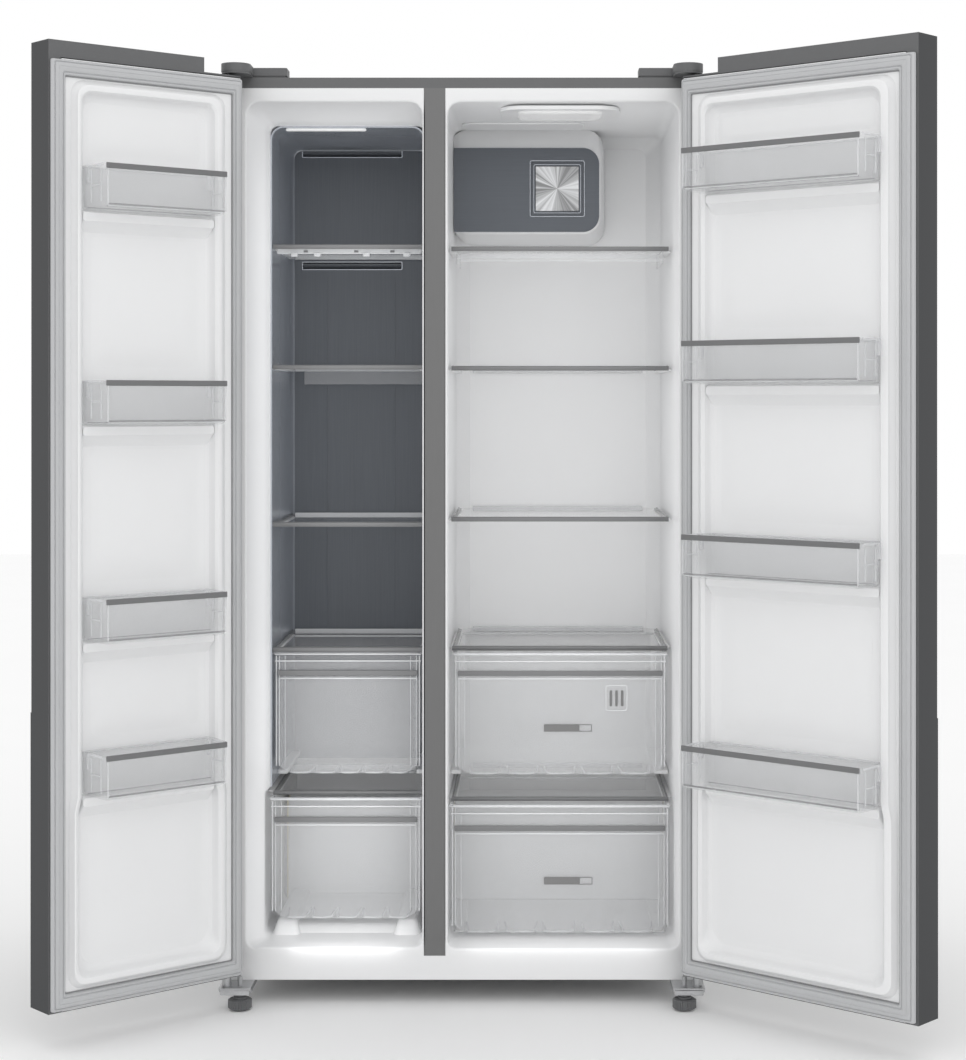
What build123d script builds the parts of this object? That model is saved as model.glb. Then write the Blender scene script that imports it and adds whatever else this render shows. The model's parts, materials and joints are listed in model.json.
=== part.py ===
"""Side by side refrigerator: freezer on the left, fridge on the right, both doors standing open.

Millimetres, +Z up. The object faces -Y. The origin is on the floor, under the middle of the
box that holds the whole object with its doors open. Cabinet positions are given as (x, y, z)
from a reference point on the floor, in the middle of the cabinet's front edge, with y running
to the back. Door positions are given as (u, v, z) in each door's own frame.
"""
import os
from math import cos, radians, sin

from build123d import *

os.makedirs("parts", exist_ok=True)

# ---- Driving dimensions -------------------------------------------------------------------
REFERENCE_X = -40.0  # the cabinet's front middle, seen from the origin
REFERENCE_Y = -79.0

CABINET_W = 910.0
CABINET_D = 562.0
CABINET_BOTTOM = 44.5
CABINET_TOP = 1754.0
HALF_W = CABINET_W / 2
STEEL = 1.2  # sheet of the outer casing
SEAM = 0.2  # gap between neighbouring panels and foam blocks
LINER = 2.0  # moulded inner liners
STRIP_BOTTOM = 1734.0  # lower edge of the steel strip over the liners
SKIRT_TOP = 90.0
FOAM_END = 560.0  # front of the back panel

DIVIDER = (-74.0, -33.0)  # the strip between the two compartments
FREEZER_X = (-409.0, -76.0)  # opening at the front
FREEZER_Z = (106.0, 1708.0)
FREEZER_BACK_X = (-374.0, -76.0)  # behind the sloped entry
FREEZER_BACK_Z = (108.0, 1672.0)
ENTRY = 80.0  # depth of the sloped entry of both compartments
FREEZER_DEPTH = 500.0
FREEZER_WIDE_X = -384.0  # the lower drawer's space is wider
FREEZER_WIDE_TOP = 392.0
FREEZER_WIDE_Y = 57.0
FRIDGE_X = (-30.0, 409.0)
FRIDGE_Z = (104.0, 1708.0)
FRIDGE_BACK_X = (-30.0, 403.0)
FRIDGE_BACK_Z = (107.0, 1697.0)
FRIDGE_DEPTH = 490.0
CORNER_R = 14.0
HUMP_Y = 388.0  # the compressor bay's hump inside both compartments
HUMP_Z = 318.0
BAY_Y = 398.0
BAY_TOP = 300.0

DOOR_OPEN = 139.0  # degrees, how far both doors stand open
DOOR_GAP = 12.0  # the gasket's room between cabinet and door body
DOOR_T = 65.0
DOOR_FRONT = DOOR_GAP + DOOR_T
DOOR_BOTTOM = 66.0
DOOR_TOP = 1776.0
TOP_CAP_EDGE = 1746.0  # the skin ends here, under the top cap
BOTTOM_CAP_EDGE = 82.0
HINGE_RECESS = 80.0  # length of the low part of the door's top, over the hinge
HINGE_RECESS_Z = 1749.0
FREEZER_DOOR_W = 400.0
FRIDGE_DOOR_W = 506.0
PIVOT_U = 13.0
PIVOT_V = 40.0
PIN_R = 5.0
RUNNING = 0.06  # radial clearance of a pin in its bore
HANDLE_W = 24.0  # width of the handle profile on the free edge
HANDLE_GRIP_Z = 589.0  # the grip groove starts here and runs up
GRIP_DEPTH = 14.0
GRIP_LIP = 3.0  # how much lower the door's free corner is beside the groove

BIN_H = 78.0
BIN_WALL = 2.5
DRAWER_WALL = 2.5
SHELF_RAIL_H = 7.0


# ---- Sketch planes and small helpers ------------------------------------------------------
def level(z):
    """Horizontal plane at height z, x to the right and y to the back of the cabinet."""
    return Plane(origin=(REFERENCE_X, REFERENCE_Y, z), x_dir=(1, 0, 0), z_dir=(0, 0, 1))


def facade(y):
    """Upright plane y behind the cabinet's front, seen from the front: extrusions come forward."""
    return Plane(
        origin=(REFERENCE_X, REFERENCE_Y + y, 0), x_dir=(1, 0, 0), z_dir=(0, -1, 0)
    )


def section(x):
    """Upright plane across the cabinet at x: sketch x runs to the back, extrusions go right."""
    return Plane(
        origin=(REFERENCE_X + x, REFERENCE_Y, 0), x_dir=(0, 1, 0), z_dir=(1, 0, 0)
    )


def span(a0, a1, b0, b1, radius=0.0, mode=Mode.ADD):
    """A rectangle between two pairs of limits, in the current sketch."""
    with Locations(((a0 + a1) / 2, (b0 + b1) / 2)):
        if radius:
            RectangleRounded(abs(a1 - a0), abs(b1 - b0), radius, mode=mode)
        else:
            Rectangle(abs(a1 - a0), abs(b1 - b0), mode=mode)


def slab(x, y, z, radius=0.0, mode=Mode.ADD):
    """A block between limits in the cabinet's frame, its upright edges rounded by radius."""
    with BuildSketch(level(z[0])) as outline:
        span(*x, *y, radius)
    extrude(outline.sketch, amount=z[1] - z[0], mode=mode)


def grown(limits, by):
    """A pair of limits, moved apart by the same amount at each end."""
    return limits[0] - by, limits[1] + by


class Leaf:
    """A door's own frame. u runs from the hinge edge to the free edge, v is how far in front
    of the cabinet a point lies when the door is shut, and z is the height from the floor."""

    def __init__(self, side, width):
        self.side = side  # -1 hinged on the left, +1 hinged on the right
        self.width = width
        turn = radians(DOOR_OPEN)
        self.along = Vector(-side * cos(turn), -sin(turn), 0)
        self.out = Vector(side * sin(turn), -cos(turn), 0)
        self.pivot = Vector(
            REFERENCE_X + side * (HALF_W - PIVOT_U), REFERENCE_Y - PIVOT_V, 0
        )
        self.corner = self.pivot - self.along * PIVOT_U - self.out * PIVOT_V

    def level(self, z):
        return Plane(
            origin=self.corner + Vector(0, 0, z), x_dir=self.along, z_dir=(0, 0, 1)
        )

    def face(self, v):
        """Plane parallel to the door's panel. Sketches on it are in u and z."""
        return Plane(
            origin=self.corner + self.out * v,
            x_dir=self.along,
            z_dir=self.out * -self.side,
        )

    def reach(self, v0, v1):
        """The extrusion that takes a sketch on face(v0) to v1."""
        return -self.side * (v1 - v0)

    def plan(self, u, v):
        """A point of a sketch on level()."""
        return u, self.side * v

    def slab(self, u, v, z, radius=0.0, mode=Mode.ADD):
        with BuildSketch(self.level(z[0])) as outline:
            span(*u, self.side * v[0], self.side * v[1], radius)
        extrude(outline.sketch, amount=z[1] - z[0], mode=mode)

    def basket(self, u, v, lead, z, mode=Mode.ADD):
        """A block whose hinge side leans away from the hinge by lead, from v[0] to v[1]."""
        with BuildSketch(self.level(z[0])) as outline:
            Polygon(
                self.plan(u[0], v[0]),
                self.plan(u[0] + lead, v[1]),
                self.plan(u[1], v[1]),
                self.plan(u[1], v[0]),
                align=None,
            )
        extrude(outline.sketch, amount=z[1] - z[0], mode=mode)

    def plate(self, u, z, v, radius=0.0, mode=Mode.ADD):
        """A plate parallel to the panel, its corners rounded by radius."""
        with BuildSketch(self.face(v[0])) as outline:
            span(*u, *z, radius)
        extrude(outline.sketch, amount=self.reach(*v), mode=mode)


# ---- Cabinet casing -----------------------------------------------------------------------
with BuildPart() as cabinet_wrap:
    for side in (-1, 1):
        slab(
            (side * (HALF_W - STEEL), side * HALF_W),
            (0, FOAM_END),
            (CABINET_BOTTOM, CABINET_TOP - STEEL - SEAM),
        )
    slab((-HALF_W, HALF_W), (0, FOAM_END), (CABINET_TOP - STEEL, CABINET_TOP))
    slab(
        (-HALF_W + STEEL + SEAM, HALF_W - STEEL - SEAM),
        (0, STEEL),
        (STRIP_BOTTOM, CABINET_TOP - STEEL),
    )
cabinet_wrap.part.label = "cabinet_wrap"
export_step(cabinet_wrap.part, "parts/cabinet_wrap.step")

INSIDE = HALF_W - STEEL
with BuildPart() as back_panel:
    slab((-HALF_W, HALF_W), (FOAM_END, CABINET_D), (BAY_TOP + 2, CABINET_TOP))
back_panel.part.label = "back_panel"
export_step(back_panel.part, "parts/back_panel.step")

TRAY_FLOOR = (CABINET_BOTTOM + 0.1, CABINET_BOTTOM + 2.1)
ROLLER_X = 400.0
ROLLER_Y = 515.0
ROLLER_R = 20.0
ROLLER_W = 22.0
AXLE_R = 4.0
with BuildPart() as base_tray:
    slab((-INSIDE, INSIDE), (3, FOAM_END), TRAY_FLOOR)
    slab((-INSIDE, INSIDE), (BAY_Y, BAY_Y + 2), (TRAY_FLOOR[1], BAY_TOP))
    slab((-INSIDE, INSIDE), (BAY_Y, FOAM_END), (BAY_TOP, BAY_TOP + 1.5))
    for side in (-1, 1):
        for cheek in (-1, 1):
            x = side * ROLLER_X + cheek * (ROLLER_W / 2 + 3)
            with BuildSketch(section(x - 1)):
                span(ROLLER_Y - 14, ROLLER_Y + 14, 12, TRAY_FLOOR[0], 3)
                with Locations((ROLLER_Y, ROLLER_R)):
                    Circle(AXLE_R + RUNNING, mode=Mode.SUBTRACT)
            extrude(amount=2)
base_tray.part.label = "base_tray"
export_step(base_tray.part, "parts/base_tray.step")

with BuildPart() as front_skirt:
    slab((-INSIDE, INSIDE), (0, STEEL), (CABINET_BOTTOM, SKIRT_TOP))
    slab((-INSIDE, INSIDE), (STEEL, 2.8), (CABINET_BOTTOM, SKIRT_TOP - 4))
front_skirt.part.label = "front_skirt"
export_step(front_skirt.part, "parts/front_skirt.step")

with BuildPart() as divider_cover:
    slab(DIVIDER, (0, STEEL), (SKIRT_TOP, STRIP_BOTTOM))
divider_cover.part.label = "divider_cover"
export_step(divider_cover.part, "parts/divider_cover.step")

# ---- Liners -------------------------------------------------------------------------------
HUMP_CUT = (HUMP_Y + LINER, 600.0)
# Each row: name, mouth x and z, back x and z, depth, and the flange's x limits.
LINERS = (
    (
        "freezer_liner",
        (FREEZER_X, FREEZER_Z),
        (FREEZER_BACK_X, FREEZER_BACK_Z),
        FREEZER_DEPTH,
        (-INSIDE, DIVIDER[0]),
    ),
    (
        "fridge_liner",
        (FRIDGE_X, FRIDGE_Z),
        (FRIDGE_BACK_X, FRIDGE_BACK_Z),
        FRIDGE_DEPTH,
        (DIVIDER[1], INSIDE),
    ),
)
for name, mouth, back, depth, flange in LINERS:
    with BuildPart() as liner:
        for by, mode in ((LINER, Mode.ADD), (0.0, Mode.SUBTRACT)):
            rear = (*grown(back[0], by), *grown(back[1], by))
            with BuildSketch(facade(0)):
                span(*grown(mouth[0], by), *grown(mouth[1], by), CORNER_R + by)
            with BuildSketch(facade(ENTRY)):
                span(*rear, CORNER_R + by)
            loft(ruled=True, mode=mode)
            with BuildSketch(facade(depth + by)):
                span(*rear, CORNER_R + by)
            extrude(amount=depth + by - ENTRY, mode=mode)
            if name == "freezer_liner":
                with BuildSketch(facade(HUMP_Y + by)):
                    span(
                        FREEZER_WIDE_X - by,
                        back[0][1] + by,
                        back[1][0] - by,
                        FREEZER_WIDE_TOP + by,
                    )
                extrude(amount=HUMP_Y + by - FREEZER_WIDE_Y + by, mode=mode)
        hump_x = grown(back[0], LINER)
        slab(grown(hump_x, 20), HUMP_CUT, (90, HUMP_Z - LINER), mode=Mode.SUBTRACT)
        slab(hump_x, (HUMP_Y, HUMP_Y + LINER), (back[1][0] - LINER, HUMP_Z))
        slab(hump_x, (HUMP_Y, depth + LINER), (HUMP_Z - LINER, HUMP_Z))
        with BuildSketch(facade(STEEL)):
            span(*flange, SKIRT_TOP, STRIP_BOTTOM)
            span(*mouth[0], *mouth[1], CORNER_R, mode=Mode.SUBTRACT)
        extrude(amount=STEEL)
    liner.part.label = name
    export_step(liner.part, f"parts/{name}.step")

# ---- Foam between the casing and the liners -------------------------------------------------
FOAM_FRONT = 3.0
FOAM_BOTTOM = TRAY_FLOOR[1]
FOAM_TOP = CABINET_TOP - STEEL - SEAM
FREEZER_LEFT = FREEZER_BACK_X[0] - LINER
WIDE_LEFT = FREEZER_WIDE_X - LINER
MOUTH_LEFT = FREEZER_X[0] - LINER - 2
FRIDGE_RIGHT = (FRIDGE_X[1] + LINER + 0.2, FRIDGE_BACK_X[1] + LINER + 0.2)
FRIDGE_REAR = FRIDGE_DEPTH + LINER
FREEZER_REAR = FREEZER_DEPTH + LINER
CORE = (FREEZER_X[1] + LINER, FRIDGE_X[0] - LINER)
BAY_ROOF = BAY_TOP + 2
WIDE_ROOF = FREEZER_WIDE_TOP + LINER


def prism(plane, depth, *corners):
    """A block of foam with the given outline."""
    with BuildSketch(plane) as outline:
        Polygon(*corners, align=None)
    extrude(outline.sketch, amount=depth)


with BuildPart() as foam_insulation:
    prism(
        level(WIDE_ROOF + SEAM),
        FOAM_TOP - WIDE_ROOF - SEAM,
        (-INSIDE, FOAM_FRONT),
        (MOUTH_LEFT, FOAM_FRONT),
        (FREEZER_LEFT - 1, ENTRY + 1),
        (FREEZER_LEFT - SEAM, FREEZER_REAR),
        (-INSIDE, FREEZER_REAR),
    )
    prism(
        level(FREEZER_Z[0]),
        WIDE_ROOF - FREEZER_Z[0],
        (-INSIDE, FOAM_FRONT),
        (MOUTH_LEFT, FOAM_FRONT),
        (WIDE_LEFT - 2, 55),
        (WIDE_LEFT - SEAM, BAY_Y - SEAM),
        (-INSIDE, BAY_Y - SEAM),
    )
    slab(
        (-INSIDE, WIDE_LEFT),
        (BAY_Y, FREEZER_REAR),
        (BAY_ROOF, WIDE_ROOF),
    )
    prism(
        section(FREEZER_LEFT + SEAM),
        CORE[0] - FREEZER_LEFT - 2 * SEAM,
        (FOAM_FRONT, FREEZER_Z[1] + LINER + 1),
        (ENTRY + 1, FREEZER_BACK_Z[1] + LINER + 1),
        (FREEZER_REAR, FREEZER_BACK_Z[1] + LINER + SEAM),
        (FREEZER_REAR, FOAM_TOP),
        (FOAM_FRONT, FOAM_TOP),
    )
    slab(
        (-INSIDE, INSIDE),
        (FOAM_FRONT, BAY_Y - SEAM),
        (FOAM_BOTTOM, FRIDGE_Z[0] - LINER - SEAM),
    )
    core = grown(CORE, -SEAM)
    slab(core, (FOAM_FRONT, FREEZER_REAR), (BAY_ROOF, FOAM_TOP))
    slab(core, (FOAM_FRONT, BAY_Y - SEAM), (FRIDGE_Z[0], BAY_ROOF - SEAM))
    slab((-INSIDE, core[0]), (FREEZER_REAR + SEAM, FOAM_END), (BAY_ROOF, FOAM_TOP))
    slab((CORE[1], INSIDE), (FRIDGE_REAR + SEAM, FOAM_END), (BAY_ROOF, FOAM_TOP))
    prism(
        level(BAY_ROOF),
        FOAM_TOP - BAY_ROOF,
        (FRIDGE_RIGHT[0], FOAM_FRONT),
        (INSIDE, FOAM_FRONT),
        (INSIDE, FRIDGE_REAR),
        (FRIDGE_RIGHT[1], FRIDGE_REAR),
        (FRIDGE_RIGHT[1], ENTRY + 1),
    )
    slab(
        (FRIDGE_RIGHT[0], INSIDE),
        (FOAM_FRONT, BAY_Y - SEAM),
        (FRIDGE_Z[0] - LINER, BAY_ROOF - SEAM),
    )
    prism(
        section(CORE[1]),
        FRIDGE_RIGHT[1] - CORE[1] - SEAM,
        (FOAM_FRONT, FRIDGE_Z[1] + LINER + 0.5),
        (ENTRY + 1, FRIDGE_BACK_Z[1] + LINER + 0.5),
        (FRIDGE_REAR, FRIDGE_BACK_Z[1] + LINER + SEAM),
        (FRIDGE_REAR, FOAM_TOP),
        (FOAM_FRONT, FOAM_TOP),
    )
    for x in ((FREEZER_LEFT, CORE[0] - SEAM), (CORE[1] + SEAM, FRIDGE_RIGHT[1] - 2)):
        slab(
            x,
            (HUMP_Y + LINER + SEAM, BAY_Y - SEAM),
            (FRIDGE_Z[0] + 4, BAY_ROOF - SEAM),
        )
        slab(x, (HUMP_Y + LINER + SEAM, FRIDGE_REAR), (BAY_ROOF, HUMP_Z - LINER))
foam_insulation.part.label = "foam_insulation"
export_step(foam_insulation.part, "parts/foam_insulation.step")

# ---- Freezer's metal lining, evaporator and fan -----------------------------------------------
LINING = 1.2
AIR_PANEL_Y = 420.0
LINING_X = (FREEZER_BACK_X[0] + 1.4, FREEZER_BACK_X[1] - 1.4)
LINING_Z = (396.0, FREEZER_BACK_Z[1] - 1.4)
LINING_Y = (ENTRY + 2, AIR_PANEL_Y - SEAM)
SLOT_X = (-347.0, -141.0)
SLOT_H = 14.0
SLOT_TOPS = (1664.0, 1430.0)
with BuildPart() as freezer_air_panel:
    with BuildSketch(facade(AIR_PANEL_Y + 2)):
        span(*LINING_X, *LINING_Z, CORNER_R)
        for top in SLOT_TOPS:
            span(*SLOT_X, top - SLOT_H, top, 3, mode=Mode.SUBTRACT)
    extrude(amount=2)
    slab((LINING_X[0], LINING_X[0] + LINING), LINING_Y, (LINING_Z[0], 1646))
    slab((LINING_X[1] - LINING, LINING_X[1]), LINING_Y, (LINING_Z[0], 1646))
    slab((-348, -102), LINING_Y, (LINING_Z[1] - LINING, LINING_Z[1]))
freezer_air_panel.part.label = "freezer_air_panel"
export_step(freezer_air_panel.part, "parts/freezer_air_panel.step")

COIL_X = (-350.0, -100.0)
COIL_Z = (620.0, 900.0)
FIN_PITCH = 12.5
TUBE_ROWS = 5
with BuildPart() as evaporator:
    fin_count = int((COIL_X[1] - COIL_X[0]) / FIN_PITCH)
    for i in range(fin_count + 1):
        x = COIL_X[0] + i * FIN_PITCH
        slab((x, x + 0.6), (432, 484), COIL_Z)
    for row in range(TUBE_ROWS):
        with BuildSketch(section(COIL_X[0] - 8)):
            with Locations((458, COIL_Z[0] + 28 + row * 56)):
                Circle(5)
        extrude(amount=COIL_X[1] - COIL_X[0] + 16)
evaporator.part.label = "evaporator"
export_step(evaporator.part, "parts/evaporator.step")

FAN_X = -225.0
FAN_Z = 1330.0
FAN_Y = (436.0, 460.0)
FAN_R = 62.0
HUB_R = 17.0
SHAFT_R = 2.5
with BuildPart() as evaporator_fan_motor:
    with BuildSketch(facade(FREEZER_DEPTH)):
        with Locations((FAN_X, FAN_Z)):
            Circle(24)
    extrude(amount=FREEZER_DEPTH - FAN_Y[1] - 4)
    with BuildSketch(facade(FAN_Y[1] + 6)):
        with Locations((FAN_X, FAN_Z)):
            Circle(SHAFT_R)
    extrude(amount=FAN_Y[1] + 6 - FAN_Y[0] - 4)
evaporator_fan_motor.part.label = "evaporator_fan_motor"
export_step(evaporator_fan_motor.part, "parts/evaporator_fan_motor.step")

BLADES = 7
BLADE_PITCH = radians(35)
with BuildPart() as evaporator_fan:
    with BuildSketch(facade(FAN_Y[1])):
        with Locations((FAN_X, FAN_Z)):
            Circle(HUB_R)
            Circle(SHAFT_R + RUNNING, mode=Mode.SUBTRACT)
    extrude(amount=FAN_Y[1] - FAN_Y[0])
    hub = facade((FAN_Y[0] + FAN_Y[1]) / 2).from_local_coords((FAN_X, FAN_Z, 0))
    for i in range(BLADES):
        angle = radians(i * 360 / BLADES)
        spoke = Vector(cos(angle), 0, sin(angle))
        swirl = Vector(-sin(angle), 0, cos(angle))
        pitched = Vector(0, -cos(BLADE_PITCH), 0) + swirl * sin(BLADE_PITCH)
        with BuildSketch(Plane(origin=hub, x_dir=spoke, z_dir=pitched)):
            span(HUB_R - 3, FAN_R, -13, 13, 6)
        extrude(amount=1, both=True)
    with BuildSketch(facade(FAN_Y[1])):
        with Locations((FAN_X, FAN_Z)):
            Circle(SHAFT_R + RUNNING)
    extrude(amount=FAN_Y[1] - FAN_Y[0], mode=Mode.SUBTRACT)
evaporator_fan.part.label = "evaporator_fan"
export_step(evaporator_fan.part, "parts/evaporator_fan.step")

# ---- Fridge's air duct, fascia and lamps -------------------------------------------------------
DUCT_Y = (321.0, 487.0)
DUCT_X = (-29.5, 284.0)
DUCT_Z = (1470.0, 1676.0)
FASCIA_X = (-28.5, 268.0)
FASCIA_Z = (1486.0, 1657.0)
FASCIA_R = 33.0
RECESS_X = (129.0, 236.0)
RECESS_Z = (1519.0, 1629.0)
BADGE_X = (138.0, 227.0)
BADGE_Z = (1526.0, 1616.0)
with BuildPart() as fridge_air_duct:
    slab(DUCT_X, DUCT_Y, DUCT_Z)
    slab(
        grown(DUCT_X, -3), (DUCT_Y[0] + 3, DUCT_Y[1] + 1), DUCT_Z, mode=Mode.SUBTRACT
    )
    slab(DUCT_X, DUCT_Y, (DUCT_Z[0], DUCT_Z[0] + 3))
fridge_air_duct.part.label = "fridge_air_duct"
export_step(fridge_air_duct.part, "parts/fridge_air_duct.step")

with BuildPart() as duct_fascia:
    with BuildSketch(facade(DUCT_Y[0])):
        span(*FASCIA_X, *FASCIA_Z, FASCIA_R)
        span(FASCIA_X[0], FASCIA_X[0] + 2 * FASCIA_R, *FASCIA_Z)
        span(*RECESS_X, *RECESS_Z, 4, mode=Mode.SUBTRACT)
    extrude(amount=6)
duct_fascia.part.label = "duct_fascia"
export_step(duct_fascia.part, "parts/duct_fascia.step")

with BuildPart() as fascia_plate:
    with BuildSketch(facade(DUCT_Y[0])):
        span(*RECESS_X, *RECESS_Z, 4)
    extrude(amount=1.5)
    with BuildSketch(facade(DUCT_Y[0] - 1.5)):
        span(*BADGE_X, *BADGE_Z, 2)
    extrude(amount=3)
fascia_plate.part.label = "fascia_plate"
export_step(fascia_plate.part, "parts/fascia_plate.step")

with BuildPart() as lamp_covers:
    slab((104, 267), (32, 162), (FRIDGE_BACK_Z[1] - 6, FRIDGE_BACK_Z[1] - 0.1), 20)
    slab((-346, -190), (86, 104), (LINING_Z[1] - LINING - 5, LINING_Z[1] - LINING), 6)
lamp_covers.part.label = "lamp_covers"
export_step(lamp_covers.part, "parts/lamp_covers.step")

# ---- Shelves, drawer covers and their supports ---------------------------------------------------
# Each row: front edge's top z, front y, back y.
FRIDGE_SHELF_X = (-25.0, 395.5)
FREEZER_SHELF_X = (-369.5, -79.0)
FRIDGE_SHELVES = (
    (1440, 85, 318),
    (1209, 85, 486),
    (917, 85, 486),
    (663, 122, 486),
    (374, 90, 486),
)
FREEZER_SHELVES = (
    (1444, 82, 418),
    (1211, 82, 418),
    (907, 82, 418),
    (665, 84, 418),
    (387, 84, 386),
)
GLASS_T = 4.0
RAIL_D = 12.0
COMPARTMENTS = (
    ("fridge", FRIDGE_SHELF_X, FRIDGE_SHELVES),
    ("freezer", FREEZER_SHELF_X, FREEZER_SHELVES),
)
for name, width, shelves in COMPARTMENTS:
    with BuildPart() as shelf_glass:
        for top, front, back in shelves:
            glass_top = top - 1.5
            slab(
                grown(width, -1),
                (front + RAIL_D, back),
                (glass_top - GLASS_T, glass_top),
            )
    shelf_glass.part.label = f"{name}_shelf_glass"
    export_step(shelf_glass.part, f"parts/{name}_shelf_glass.step")

    with BuildPart() as shelf_trims:
        for top, front, back in shelves:
            slab(width, (front, front + RAIL_D), (top - SHELF_RAIL_H, top))
    shelf_trims.part.label = f"{name}_shelf_trims"
    export_step(shelf_trims.part, f"parts/{name}_shelf_trims.step")

# ---- Drawers -----------------------------------------------------------------------------------
# Each row: name, x limits, y limits, z limits, top of the front strip below the rim.
DRAWERS = (
    ("fridge_upper_drawer", (-23.5, 395.0), (100.0, 482.0), (410.0, 652.0), 34.0),
    ("fridge_lower_drawer", (-29.0, 398.0), (62.0, 384.0), (111.0, 364.0), 39.0),
    ("freezer_upper_drawer", (-371.0, -80.0), (92.0, 416.0), (413.0, 654.0), 34.0),
    ("freezer_lower_drawer", (-376.0, -79.5), (72.0, 384.0), (136.0, 376.0), 36.0),
)
DRAWER_R = 10.0
STRIP_H = 10.0
STRIP_D = 6.0
for name, x, y, z, strip_drop in DRAWERS:
    with BuildPart() as drawer:
        slab(x, y, z, DRAWER_R)
        fillet(drawer.faces().sort_by(Axis.Z)[0].edges(), DRAWER_R - 0.1)
        rim = drawer.faces().sort_by(Axis.Z)[-1]
        offset(amount=-DRAWER_WALL, openings=rim)
    drawer.part.label = name
    export_step(drawer.part, f"parts/{name}.step")

    with BuildPart() as drawer_strip:
        strip_top = z[1] - strip_drop
        slab(
            grown(x, -10.5),
            (y[0] - STRIP_D, y[0]),
            (strip_top - STRIP_H, strip_top),
        )
    drawer_strip.part.label = f"{name}_strip"
    export_step(drawer_strip.part, f"parts/{name}_strip.step")

# Ledges under the shelves' sides, and the pads and rails that the drawers slide on.
LEDGE = 4.0
FRIDGE_WALLS = (FRIDGE_X[0], FRIDGE_BACK_X[1] - 0.2)
FREEZER_WALLS = (LINING_X[0] + LINING, LINING_X[1] - LINING)
with BuildPart() as shelf_supports:
    for walls, shelves in ((FRIDGE_WALLS, FRIDGE_SHELVES), (FREEZER_WALLS, FREEZER_SHELVES)):
        for top, front, back in shelves:
            if top == FREEZER_SHELVES[-1][0]:
                walls = (FREEZER_WIDE_X, FREEZER_BACK_X[1])
            under = top - 1.5 - GLASS_T
            inner = 16.0 if walls[0] > FREEZER_WIDE_X else 24.0
            for x in ((walls[0], walls[0] + inner), (walls[1] - inner, walls[1])):
                slab(x, (front + RAIL_D + 4, back - 8), (under - LEDGE, under))
    for x in ((-30, -8), (372, 401.5)):
        slab(x, (104, 470), (402, 409.5))
    for x in ((FREEZER_WALLS[0], -350), (-100, FREEZER_WALLS[1])):
        slab(x, (100, 410), (404, 412.5))
    for x in ((-20, 0), (366, 390)):
        slab(x, (70, 376), (108.4, 110.7))
    for x in ((-366, -336), (-118, -88)):
        slab(x, (66, 376), (109, 135.7))
shelf_supports.part.label = "shelf_supports"
export_step(shelf_supports.part, "parts/shelf_supports.step")

# ---- Hinges and feet -----------------------------------------------------------------------------
PLATE_T = 4.0
PIVOT_X = HALF_W - PIVOT_U
PIVOT_Y = -PIVOT_V
FOOT_X = 417.0
STUD_R = 5.0
with BuildPart() as upper_hinge_plates:
    for side in (-1, 1):
        with BuildSketch(level(CABINET_TOP)):
            span(side * 336, side * 450, 6, 52, 4)
            span(side * 398, side * 451, PIVOT_Y, 20)
            with Locations((side * 424.5, PIVOT_Y)):
                Circle(26.4)
        extrude(amount=PLATE_T)
upper_hinge_plates.part.label = "upper_hinge_plates"
export_step(upper_hinge_plates.part, "parts/upper_hinge_plates.step")

COVER_Z = (CABINET_TOP + PLATE_T, CABINET_TOP + PLATE_T + 15)
with BuildPart() as hinge_covers:
    for side in (-1, 1):
        for inset, drop, mode in ((0.0, 0.0, Mode.ADD), (2.0, 2.0, Mode.SUBTRACT)):
            with BuildSketch(level(COVER_Z[0])):
                span(
                    side * (334 + inset),
                    side * (452 - inset),
                    4 + inset,
                    56 - inset,
                    5,
                    mode=Mode.ADD,
                )
                span(side * (397 + inset), side * (452 - inset), PIVOT_Y, 20)
                with Locations((side * 424.5, PIVOT_Y)):
                    Circle(27.5 - inset)
            extrude(amount=COVER_Z[1] - COVER_Z[0] - drop, mode=mode)
hinge_covers.part.label = "hinge_covers"
export_step(hinge_covers.part, "parts/hinge_covers.step")

LOWER_PLATE = (CABINET_BOTTOM - 4.1, CABINET_BOTTOM - 0.1)
with BuildPart() as lower_hinge_brackets:
    for side in (-1, 1):
        with BuildSketch(level(LOWER_PLATE[0])):
            span(side * 394, side * 454.5, -62, 80, 4)
            with Locations((side * FOOT_X, PIVOT_Y)):
                Circle(STUD_R + RUNNING, mode=Mode.SUBTRACT)
        extrude(amount=LOWER_PLATE[1] - LOWER_PLATE[0])
lower_hinge_brackets.part.label = "lower_hinge_brackets"
export_step(lower_hinge_brackets.part, "parts/lower_hinge_brackets.step")

with BuildPart() as hinge_pins:
    for side in (-1, 1):
        for z, radius in (
            ((1718, CABINET_TOP), PIN_R),
            ((LOWER_PLATE[1], DOOR_BOTTOM - 0.5), 9.0),
            ((LOWER_PLATE[1], 96), PIN_R),
        ):
            with BuildSketch(level(z[0])):
                with Locations((side * PIVOT_X, PIVOT_Y)):
                    Circle(radius)
            extrude(amount=z[1] - z[0])
hinge_pins.part.label = "hinge_pins"
export_step(hinge_pins.part, "parts/hinge_pins.step")

FOOT_R = 22.5
for name, side in (("left", -1), ("right", 1)):
    with BuildPart() as levelling_foot:
        for z, radius in (((0, 20), FOOT_R), ((20, 34), 10.0), ((34, 62), STUD_R)):
            with BuildSketch(level(z[0])):
                with Locations((side * FOOT_X, PIVOT_Y)):
                    Circle(radius)
                    if radius == FOOT_R:
                        with PolarLocations(FOOT_R + 1, 18):
                            Circle(2.6, mode=Mode.SUBTRACT)
            extrude(amount=z[1] - z[0])
    levelling_foot.part.label = f"levelling_foot_{name}"
    export_step(levelling_foot.part, f"parts/levelling_foot_{name}.step")

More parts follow.
